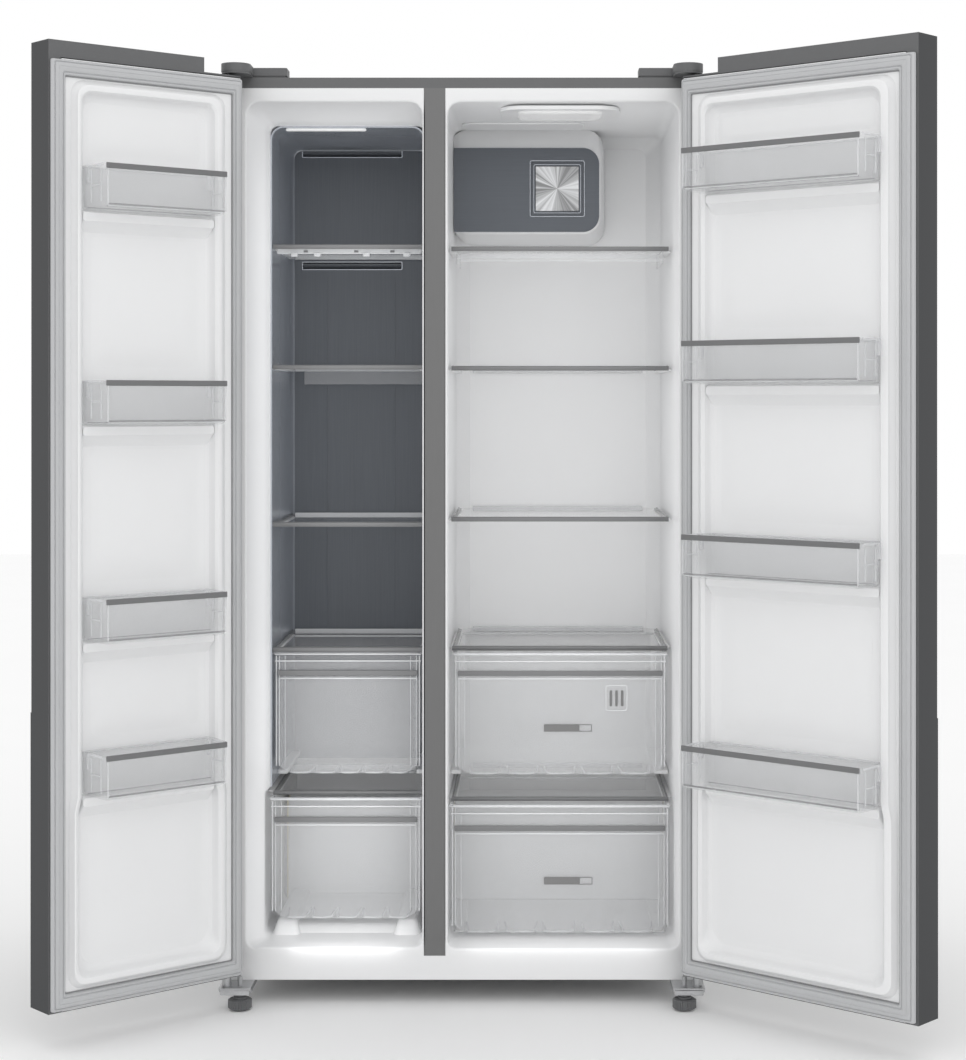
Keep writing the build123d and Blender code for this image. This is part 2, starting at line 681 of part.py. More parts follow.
with BuildPart() as rear_rollers:
    with BuildSketch(section(-ROLLER_X - 22)):
        with Locations((ROLLER_Y, ROLLER_R)):
            Circle(AXLE_R)
    extrude(amount=2 * ROLLER_X + 44)
    for side in (-1, 1):
        with BuildSketch(section(side * ROLLER_X - ROLLER_W / 2)):
            with Locations((ROLLER_Y, ROLLER_R)):
                Circle(ROLLER_R)
        extrude(amount=ROLLER_W)
rear_rollers.part.label = "rear_rollers"
export_step(rear_rollers.part, "parts/rear_rollers.step")

# ---- Compressor bay --------------------------------------------------------------------------------
BAY_FLOOR = TRAY_FLOOR[1]
with BuildPart() as compressor:
    with BuildSketch(level(BAY_FLOOR + 12)):
        with Locations((260, 480)):
            Circle(68)
    extrude(amount=165)
    fillet(compressor.edges().filter_by(GeomType.CIRCLE), 30)
    slab((180, 340), (430, 530), (BAY_FLOOR + 10, BAY_FLOOR + 16))
    for x in (192, 328):
        for y in (442, 518):
            with BuildSketch(level(BAY_FLOOR)):
                with Locations((x, y)):
                    Circle(9)
            extrude(amount=12)
compressor.part.label = "compressor"
export_step(compressor.part, "parts/compressor.step")

with BuildPart() as condenser:
    for i in range(16):
        slab((10 + i * 9, 10.8 + i * 9), (420, 540), (70, 210))
    for y in (450, 510):
        for z in (95, 140, 185):
            with BuildSketch(section(2)):
                with Locations((y, z)):
                    Circle(4)
            extrude(amount=152)
    slab((2, 10), (420, 540), (BAY_FLOOR, 210))
    slab((146, 154), (420, 540), (BAY_FLOOR, 210))
condenser.part.label = "condenser"
export_step(condenser.part, "parts/condenser.step")

with BuildPart() as drip_tray:
    slab((-300, -20), (415, 545), (BAY_FLOOR, BAY_FLOOR + 34), 10)
    slab((-298, -22), (417, 543), (BAY_FLOOR + 2, BAY_FLOOR + 34), 8, Mode.SUBTRACT)
drip_tray.part.label = "drip_tray"
export_step(drip_tray.part, "parts/drip_tray.step")

VENT_W = 60.0
VENT_H = 6.0
with BuildPart() as rear_bay_cover:
    with BuildSketch(facade(CABINET_D)):
        span(-INSIDE, INSIDE, BAY_FLOOR, BAY_TOP + 1)
        with Locations((0, 180)):
            with GridLocations(VENT_W + 15, 22, 10, 8):
                SlotOverall(VENT_W, VENT_H, mode=Mode.SUBTRACT)
    extrude(amount=2)
rear_bay_cover.part.label = "rear_bay_cover"
export_step(rear_bay_cover.part, "parts/rear_bay_cover.step")

# ---- Doors -------------------------------------------------------------------------------------------
SKIN = 1.0
FLANGE_V = 10.0  # the liner's flange, which the gasket sits on
DYKE_V = -6.0  # crest of the raised ring inside the gasket
RECESS_V = 16.0
SPIGOT = 30.0  # depth of the end caps inside the skin
GASKET_V = 0.4
# For each door: ring, dyke foot, dyke crest and recess as u limits, then bin shapes.
FREEZER_DOOR = {
    "name": "freezer",
    "leaf": Leaf(-1, FREEZER_DOOR_W),
    "gasket_u": ((2.0, 397.0), (21.0, 371.0)),
    "foot_u": (36.0, 358.0),
    "crest_u": (54.0, 350.0),
    "recess_u": (66.0, 340.0),
    "bin_u": ((70.0, 336.0), (70.0, 336.0)),
    "bin_lead": 10.0,
    "bin_tops": (1557.0, 1177.0, 794.0, 521.0),
}
FRIDGE_DOOR = {
    "name": "fridge",
    "leaf": Leaf(1, FRIDGE_DOOR_W),
    "gasket_u": ((2.0, 502.0), (21.0, 472.0)),
    "foot_u": (37.0, 462.0),
    "crest_u": (54.0, 454.0),
    "recess_u": (61.0, 436.0),
    "bin_u": ((64.0, 432.0), (50.0, 443.0)),
    "bin_lead": 4.0,
    "bin_tops": (1602.0, 1250.0, 897.0, 512.0),
}
GASKET_Z = ((70.0, 1742.0), (98.0, 1714.0))
FOOT_Z = (103.0, 1709.0)
CREST_Z = (114.0, 1698.0)
CREST_R = 16.0
RECESS_Z_DOOR = (126.0, 1686.0)
BIN_BACK_V = 13.0
BIN_STEP_V = -8.0
BIN_FRONT_V = -72.0
for door in (FREEZER_DOOR, FRIDGE_DOOR):
    leaf = door["leaf"]
    name = door["name"]
    free = leaf.width - HANDLE_W

    with BuildPart() as door_skin:
        leaf.slab(
            (0, free), (DOOR_FRONT - SKIN, DOOR_FRONT), (BOTTOM_CAP_EDGE, TOP_CAP_EDGE)
        )
        leaf.slab((0, SKIN), (DOOR_GAP, DOOR_FRONT), (BOTTOM_CAP_EDGE, TOP_CAP_EDGE))
    door_skin.part.label = f"{name}_door_skin"
    export_step(door_skin.part, f"parts/{name}_door_skin.step")

    with BuildPart() as handle_trim:
        leaf.slab(
            (free, leaf.width), (DOOR_GAP, DOOR_FRONT), (DOOR_BOTTOM, DOOR_TOP)
        )
        with BuildSketch(leaf.level(HANDLE_GRIP_Z)):
            Polygon(
                leaf.plan(free + 3, DOOR_FRONT + 1),
                leaf.plan(free + 6, DOOR_FRONT - GRIP_DEPTH),
                leaf.plan(leaf.width - 7, DOOR_FRONT - GRIP_DEPTH),
                leaf.plan(leaf.width - 4, DOOR_FRONT - GRIP_LIP),
                leaf.plan(leaf.width + 1, DOOR_FRONT - GRIP_LIP),
                leaf.plan(leaf.width + 1, DOOR_FRONT + 1),
                align=None,
            )
        extrude(amount=DOOR_TOP - HANDLE_GRIP_Z, mode=Mode.SUBTRACT)
    handle_trim.part.label = f"{name}_door_handle_trim"
    export_step(handle_trim.part, f"parts/{name}_door_handle_trim.step")

    body_v = (RECESS_V + LINER, DOOR_FRONT - SKIN)
    spigot_u = (SKIN, free)
    with BuildPart() as door_end_caps:
        leaf.slab(
            (0, free), (DOOR_GAP, DOOR_FRONT), (DOOR_BOTTOM, BOTTOM_CAP_EDGE)
        )
        leaf.slab(spigot_u, body_v, (BOTTOM_CAP_EDGE, BOTTOM_CAP_EDGE + SPIGOT))
        leaf.slab(spigot_u, body_v, (TOP_CAP_EDGE - SPIGOT - 8, TOP_CAP_EDGE))
        leaf.slab(
            (0, free), (DOOR_GAP, DOOR_FRONT), (TOP_CAP_EDGE, HINGE_RECESS_Z)
        )
        leaf.slab(
            (HINGE_RECESS, free), (DOOR_GAP, DOOR_FRONT), (HINGE_RECESS_Z, DOOR_TOP)
        )
        for z in ((0, 100), (1710, DOOR_TOP)):
            with BuildSketch(leaf.level(z[0])):
                with Locations(leaf.plan(PIVOT_U, PIVOT_V)):
                    Circle(PIN_R + RUNNING)
            extrude(amount=z[1] - z[0], mode=Mode.SUBTRACT)
    door_end_caps.part.label = f"{name}_door_end_caps"
    export_step(door_end_caps.part, f"parts/{name}_door_end_caps.step")

    foot_u = door["foot_u"]
    crest_u = door["crest_u"]
    recess_u = door["recess_u"]
    with BuildPart() as door_liner:
        leaf.plate((2, free), (68, 1744), (DOOR_GAP, FLANGE_V))
        with BuildSketch(leaf.face(DOOR_GAP)):
            span(*foot_u, *FOOT_Z, 20)
        with BuildSketch(leaf.face(DYKE_V)):
            span(*crest_u, *CREST_Z, CREST_R)
        loft(ruled=True)
        with BuildSketch(leaf.face(DOOR_GAP)):
            span(*grown(foot_u, -LINER), *grown(FOOT_Z, -LINER), 18)
        with BuildSketch(leaf.face(DYKE_V + LINER)):
            span(*grown(crest_u, -LINER), *grown(CREST_Z, -LINER), CREST_R - LINER)
        loft(ruled=True, mode=Mode.SUBTRACT)
        leaf.plate(
            grown(recess_u, LINER),
            grown(RECESS_Z_DOOR, LINER),
            (RECESS_V + LINER, DYKE_V),
            14,
        )
        leaf.plate(recess_u, RECESS_Z_DOOR, (RECESS_V, DYKE_V), 12, Mode.SUBTRACT)
        for top in door["bin_tops"]:
            for u in (
                (recess_u[0] - 1, recess_u[0] + 9),
                (recess_u[1] - 9, recess_u[1] + 1),
            ):
                leaf.slab(u, (-2, RECESS_V), (top - BIN_H - 10, top - BIN_H - 0.4))
    door_liner.part.label = f"{name}_door_liner"
    export_step(door_liner.part, f"parts/{name}_door_liner.step")

    inner_u = grown(recess_u, LINER)
    inner_z = grown(RECESS_Z_DOOR, LINER)
    crest_room = DYKE_V + LINER
    foam_z = (BOTTOM_CAP_EDGE + SPIGOT, TOP_CAP_EDGE - SPIGOT - 8)
    with BuildPart() as door_foam:
        leaf.slab(spigot_u, body_v, foam_z)
        room_u = grown(crest_u, -LINER - 0.5)
        room_z = grown(CREST_Z, -LINER - 0.5)
        side_z = grown(CREST_Z, -LINER - CREST_R)
        inner_u = grown(inner_u, SEAM)
        inner_z = grown(inner_z, SEAM)
        bar_u = grown(inner_u, -CREST_R)
        for u, z in (
            ((room_u[0], inner_u[0]), side_z),
            ((inner_u[1], room_u[1]), side_z),
            (bar_u, (room_z[0], inner_z[0])),
            (bar_u, (inner_z[1], room_z[1])),
        ):
            leaf.slab(u, (crest_room + 0.5, body_v[0] - SEAM), z)
    door_foam.part.label = f"{name}_door_foam"
    export_step(door_foam.part, f"parts/{name}_door_foam.step")

    outer_u, hole_u = door["gasket_u"]
    with BuildPart() as door_gasket:
        with BuildSketch(leaf.face(FLANGE_V)):
            span(*outer_u, *GASKET_Z[0])
        with BuildSketch(leaf.face(GASKET_V)):
            span(outer_u[0] + 12, outer_u[1] - 6, GASKET_Z[0][0] + 6, GASKET_Z[0][1] - 6)
        loft(ruled=True)
        leaf.plate(hole_u, GASKET_Z[1], (FLANGE_V, GASKET_V), mode=Mode.SUBTRACT)
    door_gasket.part.label = f"{name}_door_gasket"
    export_step(door_gasket.part, f"parts/{name}_door_gasket.step")

    for number, top in enumerate(door["bin_tops"], 1):
        back_u, front_u = door["bin_u"]
        with BuildPart() as door_bin:
            z = (top - BIN_H, top)
            leaf.slab(back_u, (BIN_BACK_V, BIN_STEP_V), z)
            leaf.basket(front_u, (BIN_STEP_V, BIN_FRONT_V), door["bin_lead"], z)
            upright = door_bin.edges().filter_by(Axis.Z).sort_by(
                lambda edge: edge.center().dot(leaf.out)
            )
            fillet(upright[:2], 6)
            room = (z[0] + BIN_WALL, z[1])
            leaf.slab(
                grown(back_u, -BIN_WALL),
                (BIN_BACK_V - BIN_WALL, BIN_STEP_V - 2 * BIN_WALL),
                room,
                mode=Mode.SUBTRACT,
            )
            leaf.basket(
                grown(front_u, -BIN_WALL),
                (BIN_STEP_V - BIN_WALL, BIN_FRONT_V + BIN_WALL),
                door["bin_lead"],
                room,
                Mode.SUBTRACT,
            )
        door_bin.part.label = f"{name}_door_bin_{number}"
        export_step(door_bin.part, f"parts/{name}_door_bin_{number}.step")
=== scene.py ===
"""Looks of the side by side refrigerator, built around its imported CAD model.

Pieces are shaped in millimetres, in the cabinet's own frame (x right, y back from the front,
z up) or in a door's own frame (u from the hinge edge to the free edge, v forward of the
cabinet's front when the door is shut, z up), and placed in the row frame in metres.
"""
import json
from math import cos, pi, radians, sin, tau

import bmesh
import bpy
from mathutils import Matrix, Vector


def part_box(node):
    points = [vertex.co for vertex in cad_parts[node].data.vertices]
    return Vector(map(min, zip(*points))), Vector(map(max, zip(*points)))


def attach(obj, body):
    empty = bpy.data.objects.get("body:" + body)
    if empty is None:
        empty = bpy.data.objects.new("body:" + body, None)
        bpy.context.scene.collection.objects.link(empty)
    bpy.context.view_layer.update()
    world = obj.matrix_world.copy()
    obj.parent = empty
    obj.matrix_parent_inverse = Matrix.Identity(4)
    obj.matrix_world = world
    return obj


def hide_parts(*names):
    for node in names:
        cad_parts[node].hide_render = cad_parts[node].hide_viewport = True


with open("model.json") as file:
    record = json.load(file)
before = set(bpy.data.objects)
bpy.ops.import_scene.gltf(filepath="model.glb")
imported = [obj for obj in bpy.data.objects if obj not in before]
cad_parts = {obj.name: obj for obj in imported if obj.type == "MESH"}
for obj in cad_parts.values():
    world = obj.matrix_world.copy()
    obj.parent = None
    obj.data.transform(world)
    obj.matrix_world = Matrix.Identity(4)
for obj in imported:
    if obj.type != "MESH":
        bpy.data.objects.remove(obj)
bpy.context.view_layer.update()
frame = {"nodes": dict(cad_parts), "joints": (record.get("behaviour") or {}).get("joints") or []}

MM = 0.001
ARC = 6  # segments in a rounded corner
SMOOTH = radians(35)


# ---- Places -------------------------------------------------------------------------------
class Place:
    """A local frame in millimetres, laid in the row frame."""

    def __init__(self, origin, along, out, body):
        self.body = body
        self.matrix = Matrix.Identity(4)
        for column, axis in enumerate((along, out, Vector((0, 0, 1)))):
            for row in range(3):
                self.matrix[row][column] = axis[row] * MM
        self.matrix.translation = origin
        self.inverse = self.matrix.inverted()

    def shifted(self, u, v):
        moved = Place.__new__(Place)
        moved.body = self.body
        moved.matrix = self.matrix @ Matrix.Translation((u, v, 0))
        moved.inverse = moved.matrix.inverted()
        return moved

    def riding(self, body):
        """The same frame for pieces of another body."""
        place = self.shifted(0, 0)
        place.body = body
        return place

    def limits(self, node):
        """Lowest and highest local corner of a CAD node."""
        points = [self.inverse @ v.co for v in frame["nodes"][node].data.vertices]
        low = Vector(min(p[i] for p in points) for i in range(3))
        high = Vector(max(p[i] for p in points) for i in range(3))
        return low, high

    def islands(self, node):
        """The limits of each separate solid of a CAD node, from the top down and left to right."""
        mesh = bmesh.new()
        mesh.from_mesh(frame["nodes"][node].data)
        bmesh.ops.remove_doubles(mesh, verts=mesh.verts, dist=1e-6)
        left = set(mesh.verts)
        found = []
        while left:
            group = [left.pop()]
            for vert in group:
                for edge in vert.link_edges:
                    other = edge.other_vert(vert)
                    if other in left:
                        left.remove(other)
                        group.append(other)
            points = [self.inverse @ v.co for v in group]
            low = Vector(min(p[i] for p in points) for i in range(3))
            high = Vector(max(p[i] for p in points) for i in range(3))
            found.append((low, high))
        mesh.free()
        return sorted(found, key=lambda limits: (-round(limits[1].z, 1), limits[0].x))


WRAP_LOW, WRAP_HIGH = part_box("cabinet_wrap")
CABINET = Place(
    Vector(((WRAP_LOW.x + WRAP_HIGH.x) / 2, WRAP_LOW.y, 0)),
    Vector((1, 0, 0)),
    Vector((0, 1, 0)),
    "cabinet",
)


def door_place(name):
    """A door's frame, from its hinge: u and v start at the door's hinge corner."""
    hinge = next(j for j in frame["joints"] if j["name"] == f"{name}_door_hinge")
    side = round(hinge["axis"][2])
    turn = radians(-hinge["range_deg"][0])
    along = Vector((-side * cos(turn), -sin(turn), 0))
    out = Vector((side * sin(turn), -cos(turn), 0))
    pivot = Vector((hinge["pos_m"][0], hinge["pos_m"][1], 0))
    at_pivot = Place(pivot, along, out, f"{name}_door")
    low, _ = at_pivot.limits(f"{name}_door_skin")
    seal, _ = at_pivot.limits(f"{name}_door_gasket")
    return at_pivot.shifted(low.x, seal.y - GASKET_FRONT)


GASKET_FRONT = 0.4  # the gasket's front, before the cabinet's front when the door is shut
DOORS = {name: door_place(name) for name in ("freezer", "fridge")}


# ---- Outlines and surfaces ----------------------------------------------------------------
def arc(centre, radius, start, end, steps=ARC):
    """Points along an arc between two angles in degrees."""
    angles = (radians(start + (end - start) * k / steps) for k in range(steps + 1))
    return [(centre[0] + radius * cos(a), centre[1] + radius * sin(a)) for a in angles]


AXES = {
    "xy": lambda a, b, c: (a, b, c),
    "xz": lambda a, b, c: (a, c, b),
    "yz": lambda a, b, c: (c, a, b),
}


def rounded(a, b, radius, steps=ARC):
    """Points of a rectangle between limits a and b, its four corners rounded. radius is one
    number or four, from the low corner round."""
    radii = radius if isinstance(radius, tuple) else (radius,) * 4
    corners = ((a[0], b[0]), (a[1], b[0]), (a[1], b[1]), (a[0], b[1]))
    points = []
    for number, ((x, y), r) in enumerate(zip(corners, radii)):
        start = 180 + number * 90
        centre = (x + (r if x == a[0] else -r), y + (r if y == b[0] else -r))
        points += arc(centre, r, start, start + 90, steps)
    return points


def inset(limits, by):
    """A pair of limits, each moved inwards."""
    return limits[0] + by, limits[1] - by


def beside(edge, way, near, far):
    """Limits measured from an edge in the direction of way, in rising order."""
    return sorted((edge + way * near, edge + way * far))


def pairs(low, high):
    """Two corners as the limits in x, y and z."""
    return tuple(zip(low, high))


def skin(rings, axes="xy", cyclic=False):
    """A shell through rings, each a height and its outline, closed at both ends or in a loop."""
    lift = AXES[axes]
    count = len(rings[0][1])
    verts = [lift(a, b, c) for c, outline in rings for a, b in outline]
    faces = []
    for i in range(len(rings) if cyclic else len(rings) - 1):
        here, there = i * count, (i + 1) % len(rings) * count
        for k in range(count):
            n = (k + 1) % count
            faces.append((here + k, here + n, there + n, there + k))
    if not cyclic:
        faces.append(tuple(range(count)))
        faces.append(tuple(len(verts) - count + k for k in range(count)))
    return verts, faces


def picture_frame(outer, inner, y):
    """A flat ring between two outlines, which stands forward from y[0] to y[1]."""
    rings = [(y[0], outer), (y[1], outer), (y[1], inner), (y[0], inner)]
    return skin(rings, "xz", cyclic=True)


def block(x, y, z, radius=0.0, axes="xy", edge=0.0):
    """A block between limits: radius rounds the corners of its outline, edge its two ends."""
    a, b, c = {"xy": (x, y, z), "xz": (x, z, y), "yz": (y, z, x)}[axes]
    radius = max(radius, edge, 0.01)
    if not edge:
        return skin([(end, rounded(a, b, radius)) for end in c], axes)
    small = rounded(inset(a, edge), inset(b, edge), max(radius - edge, 0.01))
    full = rounded(a, b, radius)
    return skin([(c[0], small), (c[0] + edge, full), (c[1] - edge, full), (c[1], small)], axes)


def disc(centre, radius, c, axes="xz", edge=0.0, sides=32):
    """A round of the given radius between two heights, with a chamfer at its ends."""

    def ring(r):
        return [
            (centre[0] + r * cos(k * tau / sides), centre[1] + r * sin(k * tau / sides))
            for k in range(sides)
        ]

    step = edge if c[1] > c[0] else -edge
    if not edge:
        return skin([(c[0], ring(radius)), (c[1], ring(radius))], axes)
    return skin(
        [
            (c[0], ring(radius - edge)),
            (c[0] + step, ring(radius)),
            (c[1] - step, ring(radius)),
            (c[1], ring(radius - edge)),
        ],
        axes,
    )


def sweep(path, width, height):
    """A low ridge along a path of (x, y, z) points, width across and height up."""
    verts = []
    for i, point in enumerate(path):
        ahead = Vector(path[min(i + 1, len(path) - 1)]) - Vector(path[max(i - 1, 0)])
        across = Vector((-ahead.y, ahead.x, 0)).normalized() * (width / 2)
        base = Vector(point)
        top = Vector((0, 0, height))
        verts += [base - across, base + across, base + across * 0.6 + top, base - across * 0.6 + top]
    faces = []
    for i in range(len(path) - 1):
        for k in range(4):
            n = (k + 1) % 4
            faces.append((4 * i + k, 4 * i + n, 4 * i + 4 + n, 4 * i + 4 + k))
    faces.append((0, 1, 2, 3))
    last = 4 * (len(path) - 1)
    faces.append((last, last + 1, last + 2, last + 3))
    return [tuple(v) for v in verts], faces


def pierced(x, z, holes, y):
    """A plate from y[0] to y[1] with square holes, each an x and z pair of limits."""
    xs = sorted({*x, *(e for hole in holes for e in hole[0])})
    zs = sorted({*z, *(e for hole in holes for e in hole[1])})

    def open_at(i, k):
        if not (0 <= i < len(xs) - 1 and 0 <= k < len(zs) - 1):
            return True
        mid = ((xs[i] + xs[i + 1]) / 2, (zs[k] + zs[k + 1]) / 2)
        return any(h[0][0] < mid[0] < h[0][1] and h[1][0] < mid[1] < h[1][1] for h in holes)

    index = {}
    verts = []

    def corner(i, k, end):
        if (i, k, end) not in index:
            index[i, k, end] = len(verts)
            verts.append((xs[i], y[end], zs[k]))
        return index[i, k, end]

    faces = []
    for i in range(len(xs) - 1):
        for k in range(len(zs) - 1):
            if open_at(i, k):
                continue
            around = ((i, k), (i + 1, k), (i + 1, k + 1), (i, k + 1))
            for end in (0, 1):
                faces.append(tuple(corner(a, b, end) for a, b in around))
            neighbours = ((i, k - 1), (i + 1, k), (i, k + 1), (i - 1, k))
            for number, neighbour in enumerate(neighbours):
                if open_at(*neighbour):
                    p, q = around[number], around[(number + 1) % 4]
                    faces.append((corner(*p, 0), corner(*q, 0), corner(*q, 1), corner(*p, 1)))
    return verts, faces


def make(name, shells, place, finish, bevel=0.0, body=None, stands_for=()):
    """One piece from its shells, with its finish, riding on its body."""
    mesh = bpy.data.meshes.new(name)
    verts, faces = [], []
    for shell_verts, shell_faces in shells:
        start = len(verts)
        verts += shell_verts
        faces += [tuple(start + i for i in face) for face in shell_faces]
    mesh.from_pydata(verts, [], faces)
    mesh.transform(place.matrix)
    shape = bmesh.new()
    shape.from_mesh(mesh)
    bmesh.ops.recalc_face_normals(shape, faces=shape.faces)
    shape.to_mesh(mesh)
    shape.free()
    mesh.shade_smooth()
    mesh.set_sharp_from_angle(angle=SMOOTH)
    piece = bpy.data.objects.new(name, mesh)
    bpy.context.scene.collection.objects.link(piece)
    material, slot = FINISHES[finish]
    mesh.materials.append(material)
    if bevel:
        rounder = piece.modifiers.new("edges", "BEVEL")
        rounder.width = bevel * MM
        rounder.segments = 2
        rounder.limit_method = "ANGLE"
        rounder.angle_limit = radians(50)
    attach(piece, body or place.body)
    if stands_for:
        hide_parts(*stands_for)
    return piece


# ---- Finishes -----------------------------------------------------------------------------
def node_maker(material):
    """Two functions: add makes a shader node, feed gives a node its inputs. A socket among the
    inputs is linked and anything else is set. _0, _1 and _2 are inputs known by number."""
    tree = material.node_tree

    def add(kind, settings=(), **inputs):
        node = tree.nodes.new("ShaderNode" + kind)
        for name, value in dict(settings).items():
            setattr(node, name, value)
        feed(node, inputs)
        return node

    def feed(node, inputs):
        for name, value in inputs.items():
            socket = node.inputs[int(name[1:]) if name[1:].isdigit() else name.replace("_", " ")]
            if isinstance(value, bpy.types.NodeSocket):
                tree.links.new(value, socket)
            else:
                socket.default_value = value

    return add, feed


def finish_material(
    name,
    colour,
    rough,
    metal=0.0,
    alpha=1.0,
    vary=0.03,
    patch=6.0,
    grain=500.0,
    stretch=(1.0, 1.0, 1.0),
    bump=0.03,
    sway=0.04,
    **sockets,
):
    """A surface whose colour drifts slowly over it, with a fine grain in gloss and relief."""
    material = bpy.data.materials.new(name)
    material.use_nodes = True
    add, feed = node_maker(material)
    place = add("TexCoord").outputs["Object"]
    where = add("Mapping", Vector=place, Scale=stretch).outputs["Vector"]
    broad = add("TexNoise", Vector=where, Scale=patch, Detail=3.0).outputs["Fac"]
    fine = add("TexNoise", Vector=where, Scale=grain, Detail=2.0).outputs["Fac"]
    half = add("Math", {"operation": "MULTIPLY"}, _0=fine, _1=0.5).outputs["Value"]
    mixed = add("Math", {"operation": "MULTIPLY_ADD"}, _0=broad, _1=0.5, _2=half)
    tint = add("ValToRGB", Fac=mixed.outputs["Value"])
    stops = zip(tint.color_ramp.elements, (0.3, 0.7), (1 - vary, 1 + vary))
    for element, position, share in stops:
        element.position = position
        element.color = (*(min(1.0, c * share) for c in colour), 1.0)
    gloss = add("MapRange", Value=fine, To_Min=max(0.0, rough - sway), To_Max=rough + sway)
    relief = add("Bump", Strength=bump, Distance=0.0005, Height=fine)
    feed(
        material.node_tree.nodes["Principled BSDF"],
        {
            "Base Color": tint.outputs["Color"],
            "Roughness": gloss.outputs["Result"],
            "Normal": relief.outputs["Normal"],
            "Metallic": metal,
            "Alpha": alpha,
            **sockets,
        },
    )
    return material


BRUSHED_UP = (1.0, 1.0, 0.012)  # grain drawn out along z
BRUSHED_ACROSS = (0.012, 1.0, 1.0)
GLINT_LOBES = 3.0  # painted highlights: broad bright fans round the spun plate, in place of its reflections


def spun_glint_material(name, centre, colour, rough):
    """Metal spun about a centre on an upright face, with painted highlights: bright fans and fine rays of
    colour run out from the middle, in place of spun metal's conic reflections.
    """
    material = finish_material(name, colour, rough, metal=0.5, vary=0.02)
    add, feed = node_maker(material)
    split = add("SeparateXYZ", Vector=add("TexCoord").outputs["Object"]).outputs
    across = add("Math", {"operation": "SUBTRACT"}, _0=split["X"], _1=centre[0])
    up = add("Math", {"operation": "SUBTRACT"}, _0=split["Z"], _1=centre[1])
    turned = {"_0": up.outputs["Value"], "_1": across.outputs["Value"]}
    angle = add("Math", {"operation": "ARCTAN2"}, **turned).outputs["Value"]
    # Painted highlights: the colour brightens and darkens round the centre in fans and fine rays.
    lobes = add("Math", {"operation": "MULTIPLY"}, _0=angle, _1=GLINT_LOBES)
    wave = add("Math", {"operation": "COSINE"}, _0=lobes.outputs["Value"])
    glint_rays = add("TexNoise", {"noise_dimensions": "1D"}, W=angle, Scale=5.0, Detail=7.0)
    shares = {"_0": wave.outputs["Value"], "_1": 0.16, "_2": glint_rays.outputs["Fac"]}
    both = add("Math", {"operation": "MULTIPLY_ADD"}, **shares)
    ramp = add("ValToRGB", Fac=both.outputs["Value"])
    stops = zip(ramp.color_ramp.elements, (0.3, 0.72), (0.45, 1.3))
    for element, position, share in stops:
        element.position = position
        element.color = (*(min(1.0, c * share) for c in colour), 1.0)
    shader = material.node_tree.nodes["Principled BSDF"]
    feed(shader, {"Base Color": ramp.outputs["Color"]})
    return material


def grey(value, tint=0.0):
    """Linear grey from an sRGB value, a little bluer for a positive tint."""
    linear = ((value + 0.055) / 1.055) ** 2.4
    return linear * (1 - tint), linear, linear * (1 + 1.6 * tint)


PLATE_LOW, PLATE_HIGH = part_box("fascia_plate")
PLATE_MIDDLE = ((PLATE_LOW.x + PLATE_HIGH.x) / 2, (PLATE_LOW.z + PLATE_HIGH.z) / 2)
PLASTIC = {"vary": 0.05, "patch": 9.0, "bump": 0.004}
BRUSHED = {"grain": 900.0, "stretch": BRUSHED_ACROSS}
GLOW = {"Emission Color": (1.0, 1.0, 1.0, 1.0), "Emission Strength": 0.12}
